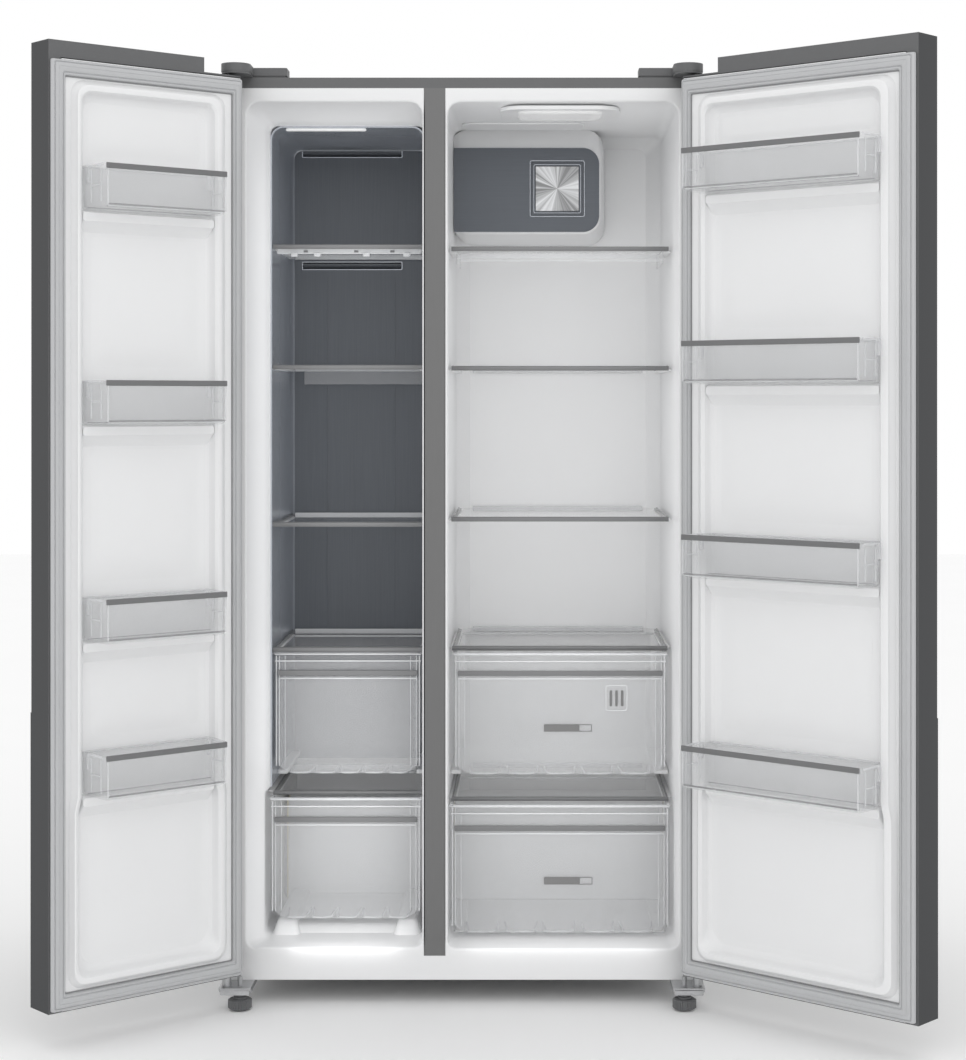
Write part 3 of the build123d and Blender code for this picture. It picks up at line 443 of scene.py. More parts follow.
# Each row: finish, material's name, slot, colour, roughness and what else differs.
FINISH_ROWS = (
    ("white", "liner_white", "liner_white", grey(0.925, 0.004), 0.3, {"vary": 0.012, "bump": 0.02}),
    ("white_matt", "support_white", "liner_white", grey(0.90, 0.004), 0.45, {"vary": 0.02}),
    ("lamp", "lamp_diffuser", "lamp", grey(0.96), 0.25, {"vary": 0.02, "alpha": 0.85, **GLOW}),
    ("clear", "clear_plastic", "clear_plastic", grey(0.84, 0.01), 0.12, {"alpha": 0.17, **PLASTIC}),
    ("clear_wall", "clear_wall", "clear_plastic", grey(0.86, 0.01), 0.14, {"alpha": 0.1, **PLASTIC}),
    # Partly painted highlight: a whiter, less clear copy of the clear plastic for real rims, ribs and
    # edges, its brightness standing in for the light that clear edges catch.
    (
        "clear_edge_painted_highlight", "clear_edge_painted_highlight", "clear_plastic", grey(0.92, 0.01), 0.1,
        {**PLASTIC, "alpha": 0.5, "vary": 0.06, "patch": 14.0},
    ),
    (
        "clear_dark", "clear_shadow_edge", "clear_plastic", grey(0.58, 0.01), 0.15,
        {"alpha": 0.4, "vary": 0.08, "patch": 14.0},
    ),
    (
        "glass", "shelf_glass", "shelf_glass", grey(0.86, -0.01), 0.04,
        {"alpha": 0.09, "sway": 0.02, "bump": 0.002},
    ),
    ("rail", "rail_grey", "rail_grey", grey(0.46, 0.01), 0.35, {"metal": 0.35, "vary": 0.07, **BRUSHED}),
    (
        "strip", "divider_grey", "rail_grey", grey(0.44), 0.42,
        {**BRUSHED, "metal": 0.2, "vary": 0.05, "stretch": BRUSHED_UP},
    ),
    (
        "dark_metal", "dark_brushed_metal", "dark_metal", grey(0.37, 0.075), 0.42,
        {"metal": 0.3, "vary": 0.12, "patch": 5.0, "grain": 700.0, "stretch": BRUSHED_UP, "bump": 0.06},
    ),
    (
        "fascia", "fascia_brushed_metal", "dark_metal", grey(0.375, 0.09), 0.42,
        {"metal": 0.25, "vary": 0.08, "patch": 5.0, "grain": 700.0, "stretch": BRUSHED_ACROSS},
    ),
    (
        "steel", "lining_steel", "dark_metal", grey(0.76, 0.05), 0.25,
        {"metal": 0.6, "vary": 0.12, "patch": 8.0, "grain": 800.0, "stretch": BRUSHED_UP, "bump": 0.05},
    ),
    # Painted highlight: a lighter copy of the lining steel, for the bright line where the lining's
    # rounded back corner catches the light.
    (
        "bright", "painted_highlight_steel", "dark_metal", grey(0.88, 0.02), 0.22,
        {"metal": 0.5, "vary": 0.05, "patch": 9.0},
    ),
    (
        "casing", "casing_grey", "casing_grey", grey(0.40, 0.01), 0.45,
        {"metal": 0.15, "vary": 0.05, "grain": 700.0},
    ),
    ("cap", "cap_grey", "cap_grey", grey(0.385, 0.015), 0.5, {"vary": 0.05, "bump": 0.08}),
    (
        "door_dark", "door_dark_inox", "door_dark", grey(0.20, 0.05), 0.45,
        {"metal": 0.3, "vary": 0.06, "grain": 800.0, "stretch": BRUSHED_UP, "bump": 0.05},
    ),
    ("gasket", "gasket_vinyl", "gasket_grey", grey(0.74, 0.012), 0.5, {"bump": 0.06}),
    # Painted shade: a darker copy of the gasket vinyl for the groove at its inner edge.
    ("gasket_painted_shade", "gasket_groove_painted_shade", "gasket_grey", grey(0.56, 0.012), 0.6, {"vary": 0.04, "bump": 0.06}),
    ("zinc", "zinc_plate", "zinc", grey(0.74, 0.01), 0.34, {"metal": 0.8, "vary": 0.12, "patch": 40.0}),
    (
        "galvanised", "galvanised_sheet", "galvanised", grey(0.7), 0.45,
        {"metal": 0.7, "vary": 0.14, "patch": 60.0},
    ),
    ("foot", "foot_plastic", "foot_grey", grey(0.42, 0.02), 0.42, {"vary": 0.07, "bump": 0.08}),
    (
        "black", "compressor_black", "compressor_black", grey(0.12), 0.3,
        {"vary": 0.15, "bump": 0.05, "patch": 20.0},
    ),
    ("foam", "rigid_foam", "foam", (0.86, 0.76, 0.42), 0.85, {"vary": 0.1, "patch": 30.0, "bump": 0.4}),
    ("coil", "coil_aluminium", "coil", grey(0.82), 0.35, {"metal": 0.9, "vary": 0.08}),
)
FINISHES = {
    finish: (finish_material(name, colour, rough, **rest), slot)
    for finish, name, slot, colour, rough, rest in FINISH_ROWS
}
# The badge plate's colour carries painted highlights, bright fans round its middle.
FINISHES["spun"] = spun_glint_material("spun_plate_painted_glints", PLATE_MIDDLE, grey(0.76, 0.01), 0.35), "bright_plate"

CARRIED_OVER = {
    "white": ("front_skirt",),
    "casing": ("cabinet_wrap",),
    "galvanised": ("back_panel", "base_tray", "rear_bay_cover"),
    "strip": ("divider_cover",),
    "foam": ("foam_insulation",),
    "coil": ("evaporator", "condenser"),
    "foot": ("evaporator_fan_motor", "evaporator_fan", "rear_rollers", "drip_tray"),
    "fascia": ("duct_fascia",),
    "zinc": ("lower_hinge_brackets", "hinge_pins"),
    "cap": ("upper_hinge_plates", "hinge_covers", "freezer_door_end_caps", "fridge_door_end_caps"),
    "door_dark": (
        "freezer_door_skin",
        "fridge_door_skin",
        "freezer_door_handle_trim",
        "fridge_door_handle_trim",
    ),
    "black": ("compressor",),
}


def finish_cad_nodes():
    """Gives each CAD node that stays its finish."""
    for finish, names in CARRIED_OVER.items():
        for name in names:
            mesh = frame["nodes"][name].data
            mesh.materials.clear()
            mesh.materials.append(FINISHES[finish][0])


def grey_trim_backs():
    """The face of each handle profile that turns to the cabinet is grey like the end caps."""
    for name, leaf in DOORS.items():
        mesh = frame["nodes"][f"{name}_door_handle_trim"].data
        mesh.materials.append(FINISHES["cap"][0])
        out = (leaf.matrix.to_3x3() @ Vector((0, 1, 0))).normalized()
        for polygon in mesh.polygons:
            if polygon.normal.dot(out) < -0.7:
                polygon.material_index = 1


# ---- Compartment liners -------------------------------------------------------------------
LINER = 2.0
FLANGE = 1.4
MOUTH_LIP = 5.0  # rounding between the front flange and the walls
ENTRY = 80.0  # depth of the sloped entry
DRAWER_STEP = 392.0  # the freezer's lower part is wider below this height
# Limits in x and z of the mouths, and of the walls behind the sloped entry.
FREEZER_MOUTH = ((-409.0, -76.0 - MOUTH_LIP * 0.2), (106.0, 1708.0))
FREEZER_BACK = ((-374.0, -76.0), (108.0, 1672.0))
FRIDGE_MOUTH = ((-30.0 + MOUTH_LIP * 0.2, 409.0), (104.0, 1708.0))
FRIDGE_BACK = ((-30.0, 403.0), (107.0, 1697.0))
HUMP_Y = 388.0  # front of the compressor bay's hump
HUMP_Z = 318.0


def wall_outline(x, z, radius, widen=0.0, top_radius=None):
    """A compartment's section: its left wall steps out by widen below the drawer step."""
    top_radius = radius if top_radius is None else top_radius
    points = rounded(x, z, (radius, radius, top_radius, top_radius))
    low = [(px - widen if i <= ARC // 2 + 3 else px, pz) for i, (px, pz) in enumerate(points)]
    left = points[0][0]
    return low + [(left, DRAWER_STEP + 4), (left - widen, DRAWER_STEP - 4)]


def shell_rings(mouth, flange, sections):
    """Rings of a liner from its inner back, out through the mouth, over the flange and back
    along its outside. sections holds (y, x limits, z limits, radius, widen)."""

    def ring(y, x, z, radius, widen=0.0, top=None):
        return y, wall_outline(x, z, radius, widen, top)

    def outside(section):
        y, x, z, radius, widen = section
        return ring(y + LINER, inset(x, -LINER), inset(z, -LINER), radius + LINER, widen)

    inner = [ring(*section) for section in reversed(sections)]
    x, z, radius, top = mouth
    lips = []
    for turn in (0, 30, 60, 90):
        out = MOUTH_LIP * (1 - cos(radians(turn)))
        y = MOUTH_LIP * (1 - sin(radians(turn)))
        lips.append(ring(y, inset(x, -out), inset(z, -out), radius + out, 0.0, top + out))
    edge = [ring(y, *flange, 1.0) for y in (0.0, FLANGE)]
    behind = [ring(FLANGE + 0.1, inset(x, -7.0), inset(z, -7.0), radius, 0.0, top)]
    return inner + lips + edge + behind + [outside(section) for section in sections]


def make_liners():
    inside_low, _ = CABINET.limits("freezer_liner")
    divider_low, divider_high = CABINET.limits("divider_cover")
    flange_z = (divider_low.z, divider_high.z)
    freezer = shell_rings(
        mouth=(*FREEZER_MOUTH, 16.0, 26.0),
        flange=((inside_low.x, divider_low.x), flange_z),
        sections=(
            (57.0, (-384.7, -76.0), (107.4, 1682.0), 14.0, 0.0),
            (ENTRY, *FREEZER_BACK, 14.0, 10.0),
            (440.0, *FREEZER_BACK, 14.0, 10.0),
            (500.0, (-368.0, -82.0), (114.0, 1666.0), 14.0, 0.0),
        ),
    )
    hump = block((-374.5, -75.5), (HUMP_Y, 500.5), (107.5, HUMP_Z), 6.0, "yz", 3.0)
    shells = [skin(freezer, "xz"), hump]
    make("freezer_liner_shell", shells, CABINET, "white", stands_for=("freezer_liner",))
    _, fridge_high = CABINET.limits("fridge_liner")
    fridge = shell_rings(
        mouth=(*FRIDGE_MOUTH, 16.0, 26.0),
        flange=((divider_high.x, fridge_high.x), flange_z),
        sections=(
            (ENTRY, *FRIDGE_BACK, 16.0, 0.0),
            (452.0, *FRIDGE_BACK, 18.0, 0.0),
            (464.0, (-26.0, 399.0), (109.0, 1694.0), 18.0, 0.0),
            (489.0, (0.0, 372.0), (114.0, 1674.0), 18.0, 0.0),
        ),
    )
    hump = block((-30.5, 403.5), (HUMP_Y, 490.5), (106.5, HUMP_Z), 6.0, "yz", 3.0)
    shells = [skin(fridge, "xz"), hump]
    make("fridge_liner_shell", shells, CABINET, "white", stands_for=("fridge_liner",))


# ---- Freezer's metal lining ---------------------------------------------------------------
LINING_R = 24.0
LINING_T = 1.2
PANEL_T = 2
RIM_OUT = 3.2  # how far the rims of the air slots stand before the panel's back
AIR_SLOT_X = (-347.0, -141.0)
AIR_SLOTS = ((AIR_SLOT_X, (1650.0, 1664.0)), (AIR_SLOT_X, (1416.0, 1430.0)))
RIDGES = (0.26, 0.74)  # where two low ridges run up the panel, as shares of its width
RIDGE_TOP = 1400.0


def lining_outline(x, z, thick, radius):
    """An upside-down U: up the left, over the top and down the right, with thickness."""

    def arch(a, top, r):
        left = arc((a[0] + r, top - r), r, 180, 90)
        right = arc((a[1] - r, top - r), r, 90, 0)
        return [(a[0], z[0])] + left + right + [(a[1], z[0])]

    inner = arch(inset(x, thick), z[1] - thick, radius - thick)
    return arch(x, z[1], radius) + inner[::-1]


def make_freezer_lining():
    x, (front, back), z = pairs(*CABINET.limits("freezer_air_panel"))
    sleeve = [
        (front, lining_outline(x, z, LINING_T, LINING_R)),
        (back - 14, lining_outline(x, z, LINING_T, LINING_R)),
        (back - 1, lining_outline(inset(x, 0.2), (z[0], z[1] - 0.2), 9.0, LINING_R)),
    ]
    make("freezer_lining", [skin(sleeve, "xz")], CABINET, "steel")
    edge = lining_outline(inset(x, -1.3), (z[0], z[1] + 1.3), 1.6, LINING_R)
    hem = skin([(front - 2.0, edge), (front + 3.0, edge)], "xz")
    make("freezer_lining_edge", [hem], CABINET, "steel", 0.5)
    # Painted highlight: a thin strip in the lighter copy of the lining steel runs round the back panel's
    # rounded corner, where the light catches it.
    glint_x, glint_z = inset(x, 5.0), (z[0], z[1] - 5.0)
    cove_glint = [
        (back - 5.0, lining_outline(glint_x, glint_z, 2.0, LINING_R - 4)),
        (back - 1.5, lining_outline(glint_x, glint_z, 3.5, LINING_R - 4)),
    ]
    make("freezer_cove_painted_highlight", [skin(cove_glint, "xz")], CABINET, "bright", 0.5)
    panel = pierced(inset(x, 4), (z[0], z[1] - 4), AIR_SLOTS, (back - PANEL_T, back))
    make("freezer_back_panel", [panel], CABINET, "dark_metal", stands_for=("freezer_air_panel",))
    rims, louvres = [], []
    for slot_x, slot_z in AIR_SLOTS:
        wide = rounded(inset(slot_x, -2.0), inset(slot_z, -2.0), 3.0)
        tight = rounded(slot_x, slot_z, 1.5)
        rims.append(picture_frame(wide, tight, (back - PANEL_T, back - RIM_OUT)))
        lean = [
            (back - 1.6, slot_z[1] - 3.0),
            (back + 7.0, slot_z[0] + 1.0),
            (back + 7.0, slot_z[0] - 2.0),
            (back - 1.6, slot_z[1] - 6.0),
        ]
        louvres.append(skin([(slot_x[0], lean), (slot_x[1], lean)], "yz"))
    make("air_slot_rims", rims, CABINET, "steel", bevel=0.3)
    make("air_slot_louvres", louvres, CABINET, "dark_metal")
    ridges = []
    for share in RIDGES:
        at = x[0] + share * (x[1] - x[0])
        ridge_z = (z[0], RIDGE_TOP)
        ridges.append(block((at - 1.0, at + 1.0), (back - 2.5, back - 1.5), ridge_z, 0.4))
    make("freezer_panel_ridges", ridges, CABINET, "dark_metal")


# ---- Fridge's duct front and lamps --------------------------------------------------------
BADGE_MARGIN = 9.5  # from the recess's edge to the bright plate
CEILING = 1698.0  # the duct's cover runs up into the liner's ceiling


def make_fascia_details():
    x, (_, floor_y), z = pairs(*CABINET.limits("fascia_plate"))
    fascia_x, (front, _), fascia_z = pairs(*CABINET.limits("duct_fascia"))
    duct_x, duct_y, duct_z = pairs(*CABINET.limits("fridge_air_duct"))
    upper_z = (fascia_z[0] - 9.0, CEILING)
    duct = [
        (duct_y[0] + 0.2, rounded(inset(fascia_x, -1.0), inset(fascia_z, -1.0), 33.0)),
        (duct_y[0] + 2.0, rounded(inset(fascia_x, -3.0), inset(fascia_z, -4.0), 35.0)),
        (duct_y[0] + 30.0, rounded(inset(fascia_x, -9.0), upper_z, 36.0)),
        (duct_y[1], rounded(duct_x, (duct_z[0], CEILING), 36.0)),
    ]
    make("fridge_duct_cover", [skin(duct, "xz")], CABINET, "white", stands_for=("fridge_air_duct",))
    floor = block(x, (floor_y - 1.4, floor_y), z, 4.0, "xz")
    make("fascia_recess", [floor], CABINET, "fascia")
    badge_x, badge_z = inset(x, BADGE_MARGIN), inset(z, BADGE_MARGIN)
    badge = block(badge_x, (front + 1.0, floor_y - 1.0), badge_z, 2.0, "xz", 0.6)
    # The badge's spun finish paints highlights into its colour.
    make("fascia_badge", [badge], CABINET, "spun", stands_for=("fascia_plate",))
    lines = []
    for by, out in ((-1.5, 0.7), (6.0, -3.0)):
        outer = rounded(inset(x, by - 0.9), inset(z, by - 0.9), 4.0)
        inner = rounded(inset(x, by + 0.4), inset(z, by + 0.4), 3.0)
        lines.append(picture_frame(outer, inner, (front + 2.0 - out, front - out)))
    make("fascia_recess_lines", lines, CABINET, "steel", bevel=0.3)


LAMP_SPOTS = (141.0, 233.0)
CEILING_PANELS = (((-10.0, 236.0), (222.0, 326.0)), ((70.0, 300.0), (10.0, 190.0)))


def make_lamps():
    fridge_lamp, freezer_lamp = CABINET.islands("lamp_covers")
    x, y, (_, top) = pairs(*fridge_lamp)
    cover = skin(
        [
            (top, rounded(x, y, 28.0)),
            (top - 3.0, rounded(inset(x, 2.0), inset(y, 2.0), 27.0)),
            (top - 5.5, rounded(inset(x, 8.0), inset(y, 8.0), 22.0)),
            (top - 6.2, rounded(inset(x, 16.0), inset(y, 16.0), 15.0)),
        ]
    )
    make("fridge_lamp_cover", [cover], CABINET, "lamp", stands_for=("lamp_covers",))
    spots = []
    for spot in LAMP_SPOTS:
        spots.append(disc((spot, y[0] + 14), 15.0, (top + 5.0, top - 0.5), "xy", 1.2))
        spots.append(disc((spot, y[0] + 14), 6.0, (top - 0.5, top - 2.0), "xy", 0.8))
    make("fridge_lamp_spots", spots, CABINET, "clear_edge_painted_highlight")
    rear, fore = CEILING_PANELS
    pads = [
        block(*rear, (top - 2.4, top + 0.4), 26.0, edge=1.6),
        block(*fore, (top - 1.6, top + 6.0), 44.0, edge=1.2),
    ]
    make("fridge_ceiling_pad", pads, CABINET, "white")
    strip = block(*pairs(*freezer_lamp), 7.0, edge=1.5)
    make("freezer_lamp_cover", [strip], CABINET, "lamp")


# ---- Shelves ------------------------------------------------------------------------------
def rail_section(front, top, lip):
    """Profile of a shelf's front rail: a rounded nose that grips the glass, with a lip below."""
    return [
        (front + 12.0, top - 1.2),
        (front + 9.0, top),
        (front + 2.0, top),
        (front + 0.4, top - 1.4),
        (front, top - 3.5),
        (front + 0.6, top - 6.0),
        (front + 2.2, top - 7.0 - lip),
        (front + 4.6, top - 7.0 - lip),
        (front + 5.6, top - 7.0),
        (front + 12.0, top - 7.0),
    ]


# The rear corners of the glass are cut off, more where it reaches the compartment's back.
WIDE_CUT = 30.0
SMALL_CUT = 6.0
REACHES_BACK = 470


def make_shelves(name):
    glasses = CABINET.islands(f"{name}_shelf_glass")
    rails = CABINET.islands(f"{name}_shelf_trims")
    for number, (glass, rail) in enumerate(zip(glasses, rails), 1):
        stands_for = (f"{name}_shelf_glass", f"{name}_shelf_trims") if number == 1 else ()
        x = (rail[0].x, rail[1].x)
        front, top = rail[0].y, rail[1].z
        section = rail_section(front, top, 2.0 if number < 5 else 0.5)
        end = [(a + 0.3, b) for a, b in section]
        bar = skin([(x[0], end), (x[0] + 1.5, section), (x[1] - 1.5, section), (x[1], end)], "yz")
        make(f"{name}_shelf_{number}_rail", [bar], CABINET, "rail", 0.3, None, stands_for)
        low, high = glass
        cut = WIDE_CUT if high.y > REACHES_BACK else SMALL_CUT
        outline = [
            (low.x, low.y - 4),
            (high.x, low.y - 4),
            (high.x, high.y - cut),
            (high.x - cut, high.y),
            (low.x + cut, high.y),
            (low.x, high.y - cut),
        ]
        pane = skin([(low.z, outline), (high.z, outline)])
        make(f"{name}_shelf_{number}_glass", [pane], CABINET, "glass", 0.6)
        sides = []
        for edge, way in ((low.x, 1), (high.x, -1)):
            x = beside(edge, way, 0.0, 7.0)
            y = (low.y + 2, high.y - cut - 4)
            sides.append(block(x, y, (low.z - 2.5, high.z + 0.6), 1.5, edge=0.6))
            x = beside(edge, way, 0.0, 3.0)
            sides.append(block(x, y, (high.z + 0.4, high.z + 2.2), 1.0, edge=0.4))
        make(f"{name}_shelf_{number}_side_frames", sides, CABINET, "clear_dark")
        back_x, back_z = (low.x + cut, high.x - cut), (low.z - 3, high.z + 3)
        back = block(back_x, (high.y - 7, high.y), back_z, 1.5, edge=0.6)
        make(f"{name}_shelf_{number}_back_stop", [back], CABINET, "clear_edge_painted_highlight")


HOOKS = (0.12, 0.28, 0.62, 0.9)  # along the freezer's hanging rail, as shares of its length
CLIPS = (0.2, 0.55, 0.8)


def make_shelf_extras():
    """The clear hanging rail under the freezer's first shelf, and the tray edges below others."""
    first, second = CABINET.islands("freezer_shelf_glass")[:2]
    low, high = first
    x = (low.x + 4, high.x - 4)
    band = [block(x, (low.y + 10, low.y + 16), (low.z - 12.0, low.z - 1.0), 1.5, edge=0.8)]
    for share in HOOKS:
        at = x[0] + share * (x[1] - x[0])
        hook_z = (low.z - 17.0, low.z - 9.0)
        band.append(block((at - 7, at + 7), (low.y + 7, low.y + 19), hook_z, 3.0, edge=1.0))
    make("freezer_ice_rail", band, CABINET, "clear_edge_painted_highlight")
    marks = []
    for share in CLIPS:
        at = x[0] + share * (x[1] - x[0])
        clip_z = (low.z - 9.0, low.z - 5.0)
        marks.append(block((at - 4, at + 4), (low.y + 9, low.y + 10.6), clip_z, 1.0, edge=0.3))
    make("freezer_ice_rail_clips", marks, CABINET, "rail")
    low, high = second
    strip_x, strip_z = (low.x + 26, high.x - 10), (low.z - 30, low.z - 1)
    strip = block(strip_x, (high.y - 16, high.y - 12), strip_z, 1.5, edge=0.8)
    make("freezer_air_deflector", [strip], CABINET, "clear")
    low, high = CABINET.islands("fridge_shelf_glass")[0]
    tray_z = (low.z - 26.0, low.z - 1.0)
    tray = []
    for x in ((low.x + 8, low.x + 11), (high.x - 11, high.x - 8)):
        tray.append(block(x, (low.y + 8, high.y - 20), tray_z, 1.0, edge=0.5))
    front_x = (low.x + 8, high.x - 8)
    tray.append(block(front_x, (low.y + 8, low.y + 10), inset(tray_z, 3), 1.0, edge=0.5))
    make("fridge_hanging_tray", tray, CABINET, "clear")


FRIDGE_WALLS = (-30.0, 402.8)
FREEZER_WALLS = (-371.4, -78.6)  # inside the metal lining
WIDE_WALL = -384.0  # the freezer's left wall below the drawer step
# Each row: x limits of the left and the right runner under a drawer, y limits, z limits.
RUNNERS = (
    (((-30.0, -10.0), (374.0, 401.5)), (190.0, 470.0), (402.0, 409.5)),
    (((-371.4, -352.0), (-98.0, -78.6)), (180.0, 410.0), (404.0, 412.5)),
    (((-20.0, 0.0), (366.0, 390.0)), (110.0, 376.0), (107.2, 110.7)),
)
FLOOR_PADS = ((-372.0, -318.0), (-138.0, -84.0))
FREEZER_FLOOR = 107.5


def make_supports():
    """Ledges moulded under each shelf's sides, and the runners that the drawers rest on."""
    ledges = []
    for compartment, walls in (("fridge", FRIDGE_WALLS), ("freezer", FREEZER_WALLS)):
        for number, (low, high) in enumerate(CABINET.islands(f"{compartment}_shelf_glass")):
            left = WIDE_WALL if (compartment, number) == ("freezer", 4) else walls[0]
            for x in ((left, low.x + 9), (high.x - 9, walls[1])):
                y = (low.y + 30, high.y - 40)
                ledges.append(block(x, y, (low.z - 4.0, low.z), 3.5, edge=1.2))
    make("shelf_ledges", ledges, CABINET, "white", stands_for=("shelf_supports",))
    runners = []
    for sides, y, z in RUNNERS:
        for x in sides:
            runners.append(block(x, y, z, 3.0, edge=1.2))
    make("drawer_runners", runners, CABINET, "white")
    pads = []
    for x in FLOOR_PADS:
        plan = [
            (FREEZER_FLOOR, rounded(x, (86.0, 376.0), 14.0)),
            (122.0, rounded(inset(x, 5.0), (94.0, 372.0), 12.0)),
            (133.0, rounded(inset(x, 9.0), (104.0, 368.0), 10.0)),
            (135.7, rounded(inset(x, 12.0), (108.0, 364.0), 8.0)),
        ]
        pads.append(skin(plan))
    plan = [
        (FREEZER_FLOOR, rounded((-350.0, -106.0), (104.0, 380.0), 20.0)),
        (120.0, rounded((-344.0, -112.0), (114.0, 376.0), 20.0)),
        (124.0, rounded((-334.0, -122.0), (124.0, 372.0), 16.0)),
    ]
    pads.append(skin(plan))
    make("freezer_floor_pads", pads, CABINET, "white")


# ---- Drawers ------------------------------------------------------------------------------
DRAWER_WALL = 2.5
DRAWER_ROUND = 32.0
LIP_LINES = (2.0, 15.0)  # the two ridges of the front lip, below the rim
EDGE_LINES = ((7.0, 2.0), (13.0, 1.4), (24.0, 1.2))  # distance from a side, and width
RIBS = 5
RIB_REACH = 78.0
LABEL_X = (154.0, 247.0)
UPPER_LABEL_Z = (500.0, 514.0)
LOWER_LABEL_Z = (212.0, 226.0)
LABEL_OUT = 2.2
FILLED = 0.74  # share of a label's width
VENT_X = 284.0  # middle of the first of the upper drawer's vent slots
VENT_PITCH = 11.0
VENT_Z = (549.0, 580.0)
SLIDER = ((274.0, 316.0), (540.0, 590.0))


def tub(x, y, z, wall, turn, corner, taper=2.0):
    """An open tub: rounded at its foot, slightly narrower there than at its rim."""
    rings = []
    for share in (0.0, 0.2, 0.4, 0.6, 0.8, 1.0):
        angle = share * pi / 2
        by = taper + turn * (1 - sin(angle))
        rings.append((z[0] + turn * (1 - cos(angle)), by))
    rings.append((z[1], 0.0))
    outer = [
        (height, rounded(inset(x, by), inset(y, by), max(corner, by * 0.6)))
        for height, by in rings
    ]
    inner = [
        (
            z[1] if height == z[1] else height + wall,
            rounded(inset(x, by + wall), inset(y, by + wall), max(corner - wall, by * 0.6)),
        )
        for height, by in reversed(rings)
    ]
    return skin(outer + inner)


def floor_ribs(x, y, z):
    """U-shaped ribs side by side on a drawer's floor, behind its front."""
    pitch = (x[1] - x[0] - 50) / RIBS
    ribs = []
    for number in range(RIBS):
        left = x[0] + 25 + pitch * (number + 0.14)
        right = left + pitch * 0.72
        bow = min(12.0, pitch / 4)
        far, near = y[0] + 26 + RIB_REACH, y[0] + 26
        path = [(left - 4, far)] + arc((left + bow, near + bow), bow, 180, 270)
        path += arc((right - bow, near + bow), bow, 270, 360) + [(right + 4, far)]
        ribs.append(sweep([(px, py, z) for px, py in path], 4.0, 3.0))
    return ribs


def make_drawer(name):
    low, high = CABINET.limits(name)
    strip_low, strip_high = CABINET.limits(f"{name}_strip")
    x, y, z = pairs(low, high)
    place = CABINET.riding(name)
    make(
        f"{name}_tub",
        [tub(x, y, z, DRAWER_WALL, DRAWER_ROUND, 10.0)],
        place,
        "clear_wall",
        stands_for=(name,),
    )
    face_z = (z[0] + 8, strip_low.z - 0.5)
    full = rounded(inset(x, 9.0), face_z, (30.0, 30.0, 4.0, 4.0))
    small = rounded(inset(x, 11.0), inset(face_z, 2.0), (28.0, 28.0, 3.0, 3.0))
    face = skin([(y[0] + 1.2, full), (y[0] - 1.0, full), (y[0] - 1.6, small)], "xz")
    make(f"{name}_face", [face], place, "clear")
    strip = block(*pairs(strip_low, strip_high), 1.5, "yz", 0.8)
    make(f"{name}_front_strip", [strip], place, "rail", 0.4, None, (f"{name}_strip",))
    # These lines, the rims and the floor ribs are in the whiter copy of the clear plastic: a painted
    # highlight on the drawer's clear edges and ridges.
    lines = []
    for drop in LIP_LINES:
        lip_z = (z[1] - drop - 2.4, z[1] - drop)
        lines.append(block(inset(x, 4), (y[0] - 2.2, y[0] + 1), lip_z, 0.8, "yz", 0.4))
    under_z = (strip_low.z - 7, strip_low.z - 4.6)
    lines.append(block(inset(x, 12), (y[0] - 2.0, y[0] + 1), under_z, 0.8))
    for edge, way in ((x[0], 1), (x[1], -1)):
        for off, wide in EDGE_LINES:
            at = edge + way * off
            line_x = (at - wide / 2, at + wide / 2)
            lines.append(block(line_x, (y[0] - 2.0, y[0] + 1), (z[0] + 22, z[1] - 6), 0.5))
    make(f"{name}_edge_lines", lines, place, "clear_edge_painted_highlight")
    rims = []
    for edge, way in ((x[0], -1), (x[1], 1)):
        rim_x = beside(edge, way, -8.0, -0.2)
        rims.append(block(rim_x, (y[0] + 6, y[1] - 4), (z[1] - 4.5, z[1]), 1.5, edge=0.8))
    rims.append(block(inset(x, 6), (y[1] - 7, y[1]), (z[1] - 4.5, z[1]), 1.5, edge=0.8))
    rims.append(block(inset(x, 8), (y[0] + 0.5, y[0] + 7), (z[1] - 4.0, z[1]), 1.5, edge=0.8))
    make(f"{name}_rim", rims, place, "clear_edge_painted_highlight")
    shade_z = (strip_high.z, z[1] - LIP_LINES[1] - 3)
    shade = block(inset(x, 10), (y[0] + 2.8, y[0] + 4.2), shade_z, 0.6)
    make(f"{name}_lip_shade", [shade], place, "clear_wall")
    make(f"{name}_floor_ribs", floor_ribs(x, y, z[0] + DRAWER_WALL), place, "clear_edge_painted_highlight")
    return place, y[0]


def make_label(name, place, z, front):
    """A plain label plate: filled for three quarters of its width, outlined for the rest."""
    x = LABEL_X
    filled = (x[0], x[0] + FILLED * (x[1] - x[0]))
    plate = block(filled, (front - 0.6, front + 0.6), z, 1.2, "xz", 0.2)
    y = (front - 0.5, front + 0.5)
    sides = ((x, (z[0], z[0] + 1.2)), (x, (z[1] - 1.2, z[1])), ((x[1] - 1.2, x[1]), z))
    outline = [block(side_x, y, side_z, 0.3) for side_x, side_z in sides]
    make(name, [plate], place, "strip")
    make(f"{name}_outline", outline, place, "strip")


def make_drawers():
    for name in ("freezer_upper_drawer", "freezer_lower_drawer"):
        make_drawer(name)
    place, front = make_drawer("fridge_upper_drawer")
    make_label("fridge_upper_label", place, UPPER_LABEL_Z, front - LABEL_OUT)
    slots = []
    for number in range(3):
        at = VENT_X + number * VENT_PITCH
        slot_x = (at - 2.4, at + 2.4)
        slots.append(block(slot_x, (front - 2.4, front - 1.0), VENT_Z, 2.2, "xz", 0.3))
    make("fridge_vent_slots", slots, place, "strip")
    outer = rounded(*SLIDER, 6.0)
    inner = rounded(inset(SLIDER[0], 1.4), inset(SLIDER[1], 1.4), 5.0)
    ring = picture_frame(outer, inner, (front - 1.2, front - 2.2))
    make("fridge_vent_slider", [ring], place, "clear_edge_painted_highlight")
    place, front = make_drawer("fridge_lower_drawer")
    make_label("fridge_lower_label", place, LOWER_LABEL_Z, front - LABEL_OUT)


